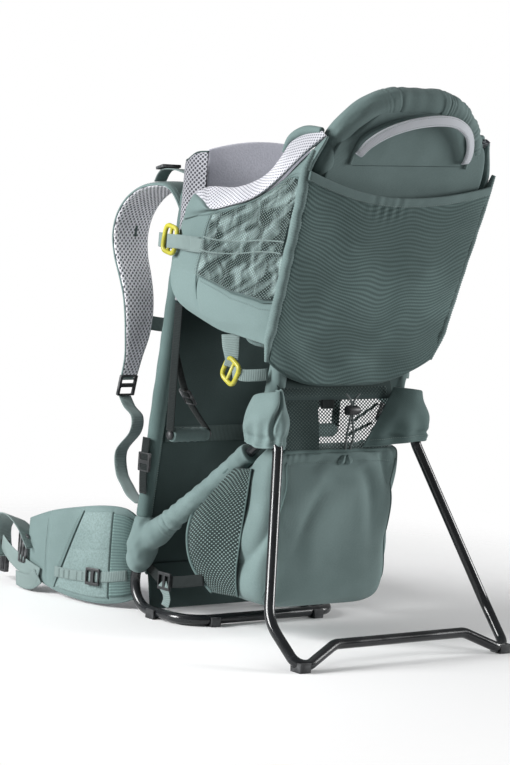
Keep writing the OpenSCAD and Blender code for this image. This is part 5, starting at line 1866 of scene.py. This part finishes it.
        def radius(u: float, angle: float) -> float:
            """The cover's radius, with rings of wrinkles."""
            base = float(curve([16.0, 14.6, 13.2, 13.6, 15.0], u))
            rings = math.sin(2 * math.pi * 11 * u + 1.6 * math.sin(angle + 5 * u))
            return base + (0.5 + 1.0 * bell(u, 0.05, 0.15)) * rings + 0.8 * lumps(3 * u, math.sin(angle))

        cover = Maker().tube([Layout.strut(mix(0.125, 0.87, i / 120)) for i in range(121)], radius, 24, X)
        for made, _ in pair(cover.build("strut_cover_right", SAGE)):
            pad(made, 0.5, "sage_cloth", "strut_sleeves")

    @staticmethod
    def build_cuff(side: Side) -> None:
        """The bunched cloth about a strut's foot and the upright above its hub."""
        lumps = wander(73, 9, 3.0)

        def bunch(sizes: Sequence[float], lump: float, fold: float = 0.0, along_: float = 0.0,
                  round_: float = 0.0, start: float = 0.0) -> Field:
            """A radius with lumps and slanted folds."""
            return lambda u, a: (float(curve(sizes, u)) + lump * lumps(start + 2 * u, math.sin(a))
                                 + fold * math.sin(along_ * u + round_ * a))

        maker = Maker(side)
        stem = along([[127.5, 62, 134], [131, 58, 112], [132.5, 57, 90], [133.5, 62, 70], [134, 65, 58]], 40)
        maker.tube(stem, bunch([13, 19, 22, 17, 11.5], 2.2, 1.0, 17, 2), 28, Y)
        neck = [Layout.upright(z) for z in np.linspace(318, 418, 40)]
        maker.tube(neck, bunch([16, 14, 13, 15, 18], 1.8, 1.0, 14, 3), 24, X)
        arm = [Layout.strut(t) for t in np.linspace(0.0, 0.2, 24)]
        maker.tube(arm, bunch([15, 19, 17.5, 15], 1.6, start=1), 28, X)
        cuff = settle(fuse(maker.build(f"strut_cuff_{side.label}", SAGE)), "sage_cloth")

    @staticmethod
    def build_apron() -> None:
        """The apron between the uprights' feet."""
        def face(u: float, v: float, off: float) -> Array:
            """A point on the apron."""
            z = mix(5, 68, v)
            return vec((2 * u - 1) * 120, Layout.back_y(z) - 4.5 - 16 * (1 - v) + off, z)

        cloth = layered("base_apron", SHADE_CLOTH, face, -0.6, 0.6, 30, 10)
        settle(soften(cloth), "dark_cloth")
        cut(cloth, 240, "stretched")


@dataclass
class Drawcord:
    """The two cords at the bag's neck, from their ends above the lock down to the hem."""

    lock: tuple[float, float, float] = (0.0, -208.0, 316.0)
    turns: tuple[tuple[float, float, float], ...] = ((12, 0, 22), (2.4, 0, 12), (1.7, 0, 0), (2.4, 0, -14),
                                                     (6, 0, -34), (4, 3, -54))
    radius: float = 1.5

    def build(self) -> None:
        """Make both cords."""
        for side in (Side.LEFT, Side.RIGHT):
            path = along(np.array(self.turns) * side.flip + np.array(self.lock), 30)
            cord = Maker().tube(path, self.radius, 10, Y).build(f"drawcord_{side.label}", CORD)
            settle(cord, "cord", "drawcord")


@dataclass
class BackSystem:
    """What lies against the wearer's back: sleeve, panel, lumbar pad and back pads."""

    def build(self) -> None:
        """Make every piece of the back."""
        self.build_sleeve()
        self.build_panel()
        self.build_lumbar()
        self.build_pads()

    @staticmethod
    def sleeve_path() -> Array:
        """The sleeve's middle line, from the left upright over the bow to the right."""
        low, corner = (vec(Layout.back_x(z), Layout.back_y(z), z) for z in (134.0, Layout.TOP))
        bend = Layout.bend(low, corner, mirrored(corner), Layout.BOW_BEND, 8)
        right = np.concatenate([[mix(low, bend[0], i / 8) for i in range(8)], bend])
        return np.concatenate([mirrored(right), right[::-1]])

    def build_sleeve(self) -> None:
        """The cloth sleeve about the back frame, with ripples and a row of stitches on each side."""
        lumps = wander(81, 9, 5.0)

        def radius(u: float, angle: float) -> float:
            """The sleeve's radius."""
            ripple = math.sin(2 * math.pi * 46 * u + math.sin(angle))
            return 11.0 + 0.45 * lumps(5 * u, math.sin(angle)) + 0.3 * ripple

        sleeve = Maker().tube(along(self.sleeve_path(), 330), radius, 18, (0, 1, 0.06))
        pad(sleeve.build("frame_sleeve_cloth", DEEP_SAGE_AND_PAINTED_SHADE), 0.6, "sage_cloth", "frame_sleeve")
        thread = Maker()
        for s in (-1, 1):
            thread.stitches([[s * (Layout.back_x(z) - 6), Layout.back_y(z) - 9.6, z]
                             for z in np.linspace(140, 560, 90)], REARWARD)
        thread.place("frame_sleeve_thread", THREAD, "sage_cloth")

    @staticmethod
    def build_panel() -> None:
        """The tensioned panel between the uprights, with two webs across it."""
        fold = wander(91, 7, 1.3)

        def face(u: float, v: float, off: float) -> Array:
            """A point on the panel."""
            z = mix(62, 570, v)
            y = Layout.back_y(z) + off + 1.6 * fold(u, 2 * v) * crown(u, v)
            return vec((2 * u - 1) * (Layout.back_x(z) - 10), y, z)

        board = layered("back_panel_cloth", SHADE_CLOTH, face, 2.6, -2.6, 36, 70)
        pad(board, 0.4, "dark_cloth", "back_panel")
        webs = Maker()
        for z in (250, 470):
            half = Layout.back_x(z) - 14
            webs.strap([[x, Layout.back_y(z) - 4.4, z] for x in np.linspace(-half, half, 12)], Z, 22, 1.4)
        webs.place("back_panel_webs", DARK_WEB_AND_SLOT_SHADOW, "webbing")

    @staticmethod
    def cushion(x0: float, x1: float, zl: float, zh: float, bulge: float, groove: float) -> Layered:
        """A face of a pad on the panel's front.

        Args:
            x0: the pad's left edge.
            x1: the pad's right edge.
            zl: its lower edge.
            zh: its upper edge.
            bulge: how far it stands out.
            groove: depth of the sewn channels.

        Returns:
            A function of u, v and the share out from the panel.
        """
        def face(u: float, v: float, out: float) -> Array:
            """A point on the pad."""
            z = mix(zl, zh, v)
            lines = bell(u, 0.5, 0.05) + bell(v, 0.34, 0.03) + bell(v, 0.67, 0.03)
            stand = out * (2 + bulge * crown(u, v) - groove * min(1.0, lines))
            return vec(mix(x0, x1, u), Layout.back_y(z) + 3.4 + stand, z)
        return face

    @staticmethod
    def sewn(p: Vector) -> bool:
        """Whether a pad's point lies in the seam on the panel."""
        return p.y < Layout.back_y(p.z) + 6

    def build_lumbar(self) -> None:
        """The lumbar pad, split by a middle channel."""
        face = self.cushion(-112, 112, 52, 196, 21, 4)
        mesh = layered("lumbar_pad_mesh", SPACER, face, 1, 0, 64, 44)
        Filling(cap=6).puff(mesh, self.sewn)
        pad(mesh, 0.8, "spacer_mesh", "lumbar_pad")
        self.bind("lumbar_pad_binding", face, Side.RIGHT)

    def build_pads(self) -> None:
        """The two long pads above it."""
        face = self.cushion(22, 85, 206, 440, 10, 2.5)
        right = layered("back_pad_right_mesh", SPACER, face, 1, 0, 26, 66)
        Filling(cap=4).puff(right, self.sewn)
        for made, _ in pair(right):
            pad(made, 0.8, "spacer_mesh", "back_pads")
        for side in Side:
            self.bind(f"back_pad_{side.label}_binding", face, side)

    @staticmethod
    def bind(name: str, face: Layered, side: Side) -> None:
        """A bound edge round a pad."""
        n = 40
        line = ([face(i / n, 0, 0.5) for i in range(n)] + [face(1, i / n, 0.5) for i in range(n)]
                + [face(1 - i / n, 1, 0.5) for i in range(n)]
                + [face(0, 1 - i / n, 0.5) for i in range(n + 1)])
        edge = Maker(side).tube(line, 2.2, 8, Y, cap=False)
        edge.place(name, SAGE, "sage_cloth")


@dataclass
class ShoulderHarness:
    """Shoulder straps, load lifters, lower webs and the sternum strap."""

    line: Plan = (
        (53.7, 514), (56.3, 542), (70, 573), (95, 591), (139, 587), (171, 571), (192, 546), (199, 516),
        (193, 486), (180, 460), (168, 432), (162, 402), (160, 375), (164, 345), (170, 318))
    xs: tuple[float, ...] = (66, 68, 70, 72, 74, 76, 78, 80, 81, 82, 83, 84, 86, 87, 88)
    widths: tuple[float, ...] = (0.85, 0.95, 1, 1, 1, 1, 0.98, 0.95, 0.9, 0.86, 0.8, 0.74, 0.64, 0.46, 0.4)
    width: float = 64.0
    thick: float = 13.0
    web: float = 20.0

    def build(self) -> None:
        """Make the harness."""
        self.build_straps()
        for side in Side:
            self.build_webs(side)
        self.build_sternum()

    def face(self, u: float, v: float, out: float) -> Array:
        """A point on the right strap; out is 1 against the wearer and -1 away from them."""
        path = [[x, *p] for x, p in zip(self.xs, self.line)]
        side = vec(1.0, 0, 0)
        q = unit(np.cross(unit(heading(path, u)), side))
        w = float(curve(self.widths, u)) * self.width
        h = 0.7 + (self.thick / 2 - 0.7) * crown(u, v, 0.42) * 0.9
        return curve(path, u) + side * w * (v - 0.5) + q * out * h

    def build_straps(self) -> None:
        """Both straps: cloth outside, spacer mesh inside, bound edges."""
        cloth = layered("strap_right_cloth", SAGE, self.face, -1, -0.03, 110, 18)
        # the strap mesh's brighter colour is painted light
        mesh = layered("strap_right_mesh", PAINTED_LIGHT_STRAP_MESH, self.face, 0.03, 1, 110, 18)
        for piece, slot in ((cloth, "sage_cloth"), (mesh, "spacer_mesh")):
            for made, side in pair(piece):
                pad(made, 0.75, slot, f"strap_{side}", body="shoulder_harness")
        binding, thread, webs = Maker(), Maker(), Maker()
        for v in (0.0, 1.0):
            binding.tube([self.face(u, v, 0) for u in np.linspace(0, 1, 130)], 1.5, 8, X)
        places = np.linspace(0.02, 0.98, 160)
        for v in (0.10, 0.90):
            for out in (-1, 1):
                normals = [unit(self.face(u, v, out) - self.face(u, v, 0)) for u in places]
                thread.stitches([self.face(u, v, out * 1.08) for u in places], normals, 3.4, 2.2)
        for a, b in ((0.30, 0.44), (0.5, 0.56), (0.6, 0.66)):
            webs.strap([self.face(mix(a, b, i / 10), 0.5, -1.0 - 0.5 * hump(i / 10)) for i in range(11)],
                       X, 20, 1.5)
        # a short dark strip on the mesh is painted shadow in the strap's slot
        webs.strap([self.face(u, 0.42, 1.02) for u in (0.47, 0.49, 0.51)], X, 4, 0.8)
        for piece, slot in ((binding.build("strap_right_binding", SAGE), "sage_cloth"),
                            (thread.build("strap_right_thread", THREAD), "sage_cloth"),
                            (webs.build("strap_right_webs", DARK_WEB_AND_SLOT_SHADOW), "webbing")):
            for made, _ in pair(piece):
                settle(made, slot, body="shoulder_harness")

    def build_webs(self, side: Side) -> None:
        """A load lifter and a lower web, stretching from the harness to the frame, and the strap's tail."""
        lifter = [[76, 143, 594.5], [84, 126, 606], [92, 106, 613], [97, 76, 615], [100.2, 47, 611.8]]
        end, way = vec(88.0, 170, 318), unit([0, 6, -27])
        lock = end + way * 15.8
        lower = [list(lock + way * 16), [90, 162, 274], [92, 140, 262], [94, 140, 240], [96, 166, 210],
                 [99, 158, 180], [107, 132, 165], [118, 104, 156], [127.4, 72.8, 151]]
        for name, node, line, start, across, size in (
                ("load_lifter", "load_lifters", lifter, 1, [0.93, 0.29, 0], (18, 1.6)),
                ("strap_web", "strap_webs", lower, 0, [1.0, 0.1, 0], (self.web, 1.7, 90))):
            maker = Maker(side).strap(line, unit(across * side.flip), *size)
            piece = maker.build(f"{name}_{side.label}", WEB)
            tuple(np.array(line[start]) * side.flip * MM)
            tuple(np.array(line[-1]) * side.flip * MM)
            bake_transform(piece)
            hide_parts(node)
            LOG.info("%s between shoulder_harness and frame", piece.name)
        tail = Maker(side).strap([end - way * 22 + [0, 4.5, 0], end - way * 6 + [0, 4.2, 0], lock - way * 8],
                                 X, self.web, 1.8)
        tail.place(f"strap_tail_{side.label}", WEB, "webbing", body="shoulder_harness")

    @staticmethod
    def build_sternum() -> None:
        """The sternum webs and their sliders."""
        p = vec(0, 159.7 + 10.8, 392.0)
        webs, slides = Maker(), Maker()
        for line in ([[-58, 0, 0], [-34, 2, -3], [-26.5, 2, -3]], [[17.4, 2, -3], [36, 3, -4], [58, 0, 0]]):
            webs.strap(np.array(line) + p, Z, 20, 1.5)
        webs.place("sternum_webs", DARK_WEB_AND_SLOT_SHADOW, "webbing", "sternum_web", body="sternum_strap")
        for s in (-1, 1):
            c = p + [s * 64, 0, 0]
            for z in (-10, 10):
                slides.tube([c + [-5.4, 0, z], c + [5.4, 0, z]], 2.6, 10)
            for x in (-4, 4):
                slides.tube([c + [x, 0, -10], c + [x, 0, 10]], 2.6, 10)
        slides.place("sternum_slides", BLACK_PLASTIC, "black_plastic", "sternum_web", body="sternum_strap")


@dataclass
class HipBelt:
    """Both hip fins with their panels, seams, locks' webs and belt webbing."""

    plan: Plan = ((127, 77), (143, 88), (160, 116), (171, 162), (177, 210), (180, 256))
    low: tuple[float, ...] = (16, 10, 6, 7, 14, 28)
    high: tuple[float, ...] = (128, 140, 140, 131, 119, 102)
    thick: float = 15.0
    front_seam: float = 0.30

    @staticmethod
    def pocket(v: float, ahead: float = 0.0) -> float:
        """The place of the pocket's slanted mouth, or of a line ahead of it."""
        return 0.52 + ahead + 0.22 * (1 - v)

    def face(self, u: float, v: float, out: float, lift: float = 0.0) -> Array:
        """A point on the right fin; out is 1 on its outside and -1 on the wearer's side."""
        q = curve(self.plan, u)
        d = heading(self.plan, u, 0.02)
        k = unit([d[1], -d[0]])
        root = 1 - 0.75 * (1 - step(u, 0.10, 0.32)) if out > 0 else 1.0
        h = out * (0.8 + (self.thick / 2 - 0.8) * crown(u, v, 0.42) * 0.92 * root + lift)
        z = mix(float(curve(self.low, u)), float(curve(self.high, u)), v)
        return vec(q[0] + k[0] * h, q[1] + k[1] * h, z)

    def relief(self, u: float, v: float) -> float:
        """Seams and puckers of the outside."""
        seam = bell(u, self.front_seam, 0.008) + bell(u, 0.80, 0.008)
        mouth = bell(u, self.pocket(v), 0.010) * step(v, 0.08, 0.16)
        line = bell(v, 0.55, 0.012) * step(u, self.front_seam, 0.33) * (1 - step(u, 0.58, 0.62))
        pucker = 0.5 * math.sin(120 * v) * bell(u, 0.32, 0.03)
        return -1.5 * min(1.0, seam + mouth + line) + pucker

    def ribs(self, a: float, b: float) -> Array:
        """A point on the ribbed panel at the fin's root; b runs forward along the fin."""
        return self.face(mix(0.06, 0.295, b), mix(0.06, 0.94, a), 1, 0.5 + 0.7 * hump(b, 0.5))

    def melange(self, a: float, b: float) -> Array:
        """A point on the speckled panel up to the pocket's mouth."""
        v = mix(0.05, 0.95, a)
        return self.face(mix(0.305, 0.725 - 0.22 * v, b), v, 1,
                         0.5 + self.relief(mix(0.305, 0.725 - 0.22 * a, b), v))

    def build(self) -> None:
        """Make both fins and their webs."""
        cloth = panel("fin_right_cloth", SAGE,
                      lambda u, v: self.face(u, v, 1, self.relief(u, v) * hump(v, 0.3)),
                      lambda u, v: self.face(u, v, 0.02), 100, 56)
        Filling(cap=0.4, pressure=2.0).puff(cloth, lambda p: False)
        lining = layered("fin_right_mesh", SPACER, self.face, -0.02, -1, 60, 40)
        for piece, slot in ((cloth, "sage_cloth"), (lining, "spacer_mesh")):
            for made, side in pair(piece):
                pad(made, 0.8, slot, f"fin_{side}", body=f"hip_{side}")
        for piece in (skin("fin_right_ribs", RIBBED, self.ribs, 40, 24, 0.8),
                      skin("fin_right_melange", MELANGE, self.melange, 50, 40, 0.8)):
            for made, side in pair(piece):
                settle(made, "sage_cloth", body=f"hip_{side}")
                cut(made, 55, "stretched")
        self.sew_edges()
        for side in Side:
            self.build_webs(side)

    def sew_edges(self) -> None:
        """Bound edges, a dark line down the pocket's mouth that is painted shadow in the slit, a thinner dark
        line on the front seam, and the rows of stitches.
        """
        binding, mouth, thread = Maker(), Maker(), Maker()
        rim = ([(u, 0.0) for u in np.linspace(0, 1, 60)] + [(1.0, v) for v in np.linspace(0.05, 0.95, 16)]
               + [(u, 1.0) for u in np.linspace(1, 0, 60)])
        binding.tube([self.face(u, v, 0.0) for u, v in rim], 2.2, 8, Z)
        # the dark line in the pocket's mouth is painted shadow in the slit
        mouth.tube([self.face(self.pocket(v), v, 1, 0.3) for v in np.linspace(0.03, 0.97, 50)], 1.0, 8, Z)
        mouth.tube([self.face(self.front_seam, v, 1, 0.2) for v in np.linspace(0.04, 0.96, 40)], 0.7, 8, Z)
        for row in ([(u, 0.53) for u in np.linspace(0.32, 0.58, 60)],
                    [(0.815, v) for v in np.linspace(0.08, 0.92, 50)],
                    [(self.pocket(v, 0.025), v) for v in np.linspace(0.12, 0.92, 60)],
                    [(0.315, v) for v in np.linspace(0.06, 0.94, 60)]):
            thread.stitches([self.face(u, v, 1, 0.5) for u, v in row],
                            [unit(self.face(u, v, 1) - self.face(u, v, 0)) for u, v in row])
        for piece, slot in ((binding.build("fin_right_binding", SAGE), "sage_cloth"),
                            (mouth.build("fin_right_pocket_edge", SHADE_CLOTH), "dark_cloth"),
                            (thread.build("fin_right_thread", THREAD), "sage_cloth")):
            for made, side in pair(piece):
                settle(made, slot, body=f"hip_{side}")

    def build_webs(self, side: Side) -> None:
        """The belt's web, with a bow at the tip, a tail and a ladder lock, and the stabiliser's web."""
        body = f"hip_{side.label}"
        belt, lock, stay = Maker(side), Maker(side), Maker(side)
        belt.strap([[180, 244, 62], [183, 262, 84], [185, 288, 98], [182, 316, 95], [177, 334, 78],
                    [173, 334, 54], [172, 320, 37]], unit([side.value, 0.1, 0.35]), 34, 1.8)
        belt.strap([[178, 326, 56], [186, 290, 44], [189, 252, 33], [187, 222, 25]], (0, 0.3, 1), 25, 1.7)
        belt.strap([[187, 222, 25], [190, 236, 15], [189, 258, 13], [186, 276, 14]],
                   unit([0.1 * side.value, 0.1, 1]), 22, 1.7)
        belt.place(f"belt_web_{side.label}", WEB, "webbing", f"hip_web_{side.label}", body=body)
        for y in (253, 260, 267):
            lock.tube([[189, y, 40], [187, y, 78]], 2.6, 10)
        for z in (40, 78):
            lock.tube([[188, 253, z], [188, 267, z]], 2.6, 10)
        lock.place(f"belt_ladder_{side.label}", BLACK_PLASTIC, "black_plastic", body=body)

        def place(u: float, lift: float) -> Array:
            """A point on the stabiliser web's middle line."""
            return self.face(u, mix(0.30, 0.22, u), 1, lift)

        stay.strap([place(u, 1.6) for u in np.linspace(0.13, 0.72, 40)], Z, 15, 1.5)
        for u in (0.50, 0.54, 0.60, 0.64, 0.68):
            stay.tube(zigzag(place(u, 2.6), 1.6, 6.4, 1.6, 9), 0.45, 5, X)
        stay.place(f"stabiliser_web_{side.label}", WEB, "webbing", body=body)


@dataclass
class Webs:
    """Body webs at the sides and the stirrups."""

    lock_lean: float = math.radians(36)

    def build(self) -> None:
        """Make the webs and stirrups."""
        for side in Side:
            self.build_side(side)
            self.build_stirrup(side)

    @staticmethod
    def build_side(side: Side) -> None:
        """Webs through the yellow adjusters and at the bag's foot."""
        up, low, z = vec(158, 14, 522.0), vec(148, -128, 362.0), 212.0
        edge = vec(Layout.back_x(z) + 12, Layout.back_y(z) - 2, z)
        slant = unit(vec(-0.5, -0.84, -0.1) * side.flip)
        pale, dark = Maker(side), Maker(side)
        for line, across, width, thick in (
                ([[159.8, -58, 523], [162.4, -22, 523], up + [5.4, -10, 0], up + [2.0, -3, 0]], Z, 19, 1.5),
                ([up + [2, 3, 0], up + [2, 15.8, 0], [148, 38, 520], [131, 46, 518], [123.8, 43.3, 517]],
                 Z, 19, 1.5),
                ([[147.6, -122, 409.2], [148, -124, 396], low + [2, -2.3, 15.5], low + [2, 0, 4]],
                 slant, [26, 24, 19, 19], 1.8),
                ([low + [2, -6, -3], low + [2, -15.4, -1], [147, -152, 358], [136, -168, 360],
                  [124, -176, 362]], Z, 16, 1.5),
                ([[126.6, 16, 50], [128, 6, 40], [127, 2, 28], [128.5, 4, 18]], (0, 1, 0.1), 16, 1.4)):
            pale.strap(line, across, width, thick)
        dark.strap([[118, 61, 66], [124, 10, 52], [117.3, -62, 66]], Z, 16, 1.5)
        dark.strap([edge + [1, 0, 34], edge + [2.4, 0, 14], edge + [2, 0, 2]], Y, 16, 1.4)
        dark.strap([edge + [2, 0, -2], edge + [3.2, 0, -16], edge + [1.4, 0, -44]], Y, 16, 1.4)
        pale.place(f"body_webs_{side.label}", WEB, "webbing", "body_webs")
        dark.place(f"body_webs_dark_{side.label}", BLACK_WEB, "webbing", "body_webs")

    def build_stirrup(self, side: Side) -> None:
        """A foot bar on two webs, with its lock."""
        name, body = side.label, f"stirrup_{side.label}"
        top, outer, inner = vec(148, -8, 432.6), vec(152, -8, 258.0), vec(80, -8, 258.0)
        webs, bar, ends, lock = Maker(side), Maker(side), Maker(side), Maker(side)
        webs.strap([top + [0, 0, 4], top - [0, 0, 4], [149, -8, 340], outer + [-3, 0, 6]], Y, 16, 1.6)
        webs.strap([[148.6, -8, 372], [124, -8, 312], inner + [4, 0, 6]], Y, 16, 1.6)
        webs.place(f"stirrup_webs_{name}", BLACK_WEB, "webbing", body, body=body)
        lumps = wander(101, 6, 3.0)

        def radius(u: float, angle: float) -> float:
            """The bar's radius, drawn in at both ends."""
            return 9.6 + 0.5 * lumps(3 * u, math.sin(angle)) - 0.8 * (bell(u, 0, 0.03) + bell(u, 1, 0.03))

        bar.tube([mix(inner, outer, mix(0.08, 0.92, i / 40)) for i in range(41)], radius, 18, Z)
        bar.place(f"stirrup_bar_{name}", SAGE, "sage_cloth", body=body)
        for a, b in ((0.0, 0.09), (0.91, 1.0)):
            ends.tube([mix(inner, outer, mix(a, b, i / 6)) for i in range(7)], [4.6, 6.4, 6.4, 4.6], 16, Z)
        ends.place(f"stirrup_ends_{name}", BLACK_PLASTIC, "black_plastic", body=body)
        c, way = vec(122, -8, 310.0), unit([math.sin(self.lock_lean), 0, math.cos(self.lock_lean)])
        for k in (-11, 0, 11):
            lock.tube([c + way * k + [0, -10, 0], c + way * k + [0, 10, 0]], 2.1, 10)
        for y in (-10, 10):
            lock.tube([c - way * 11 + [0, y, 0], c + way * 11 + [0, y, 0]], 2.1, 10)
        lock.place(f"stirrup_lock_{name}", BLACK_PLASTIC, "black_plastic", body=body)


def main() -> None:
    """Build the scene in order."""
    logging.basicConfig(level=logging.INFO, format="%(name)s: %(message)s")
    Camera().build()
    Drawcord().build()
    Studio().build()
    Hardware().dress()
    for part in (RearPanel(), Headrest(), SideWing(), Cockpit(), LowerBody(), BackSystem(), ShoulderHarness(),
                 HipBelt(), Webs()):
        part.build()


if __name__ == "__main__":
    main()
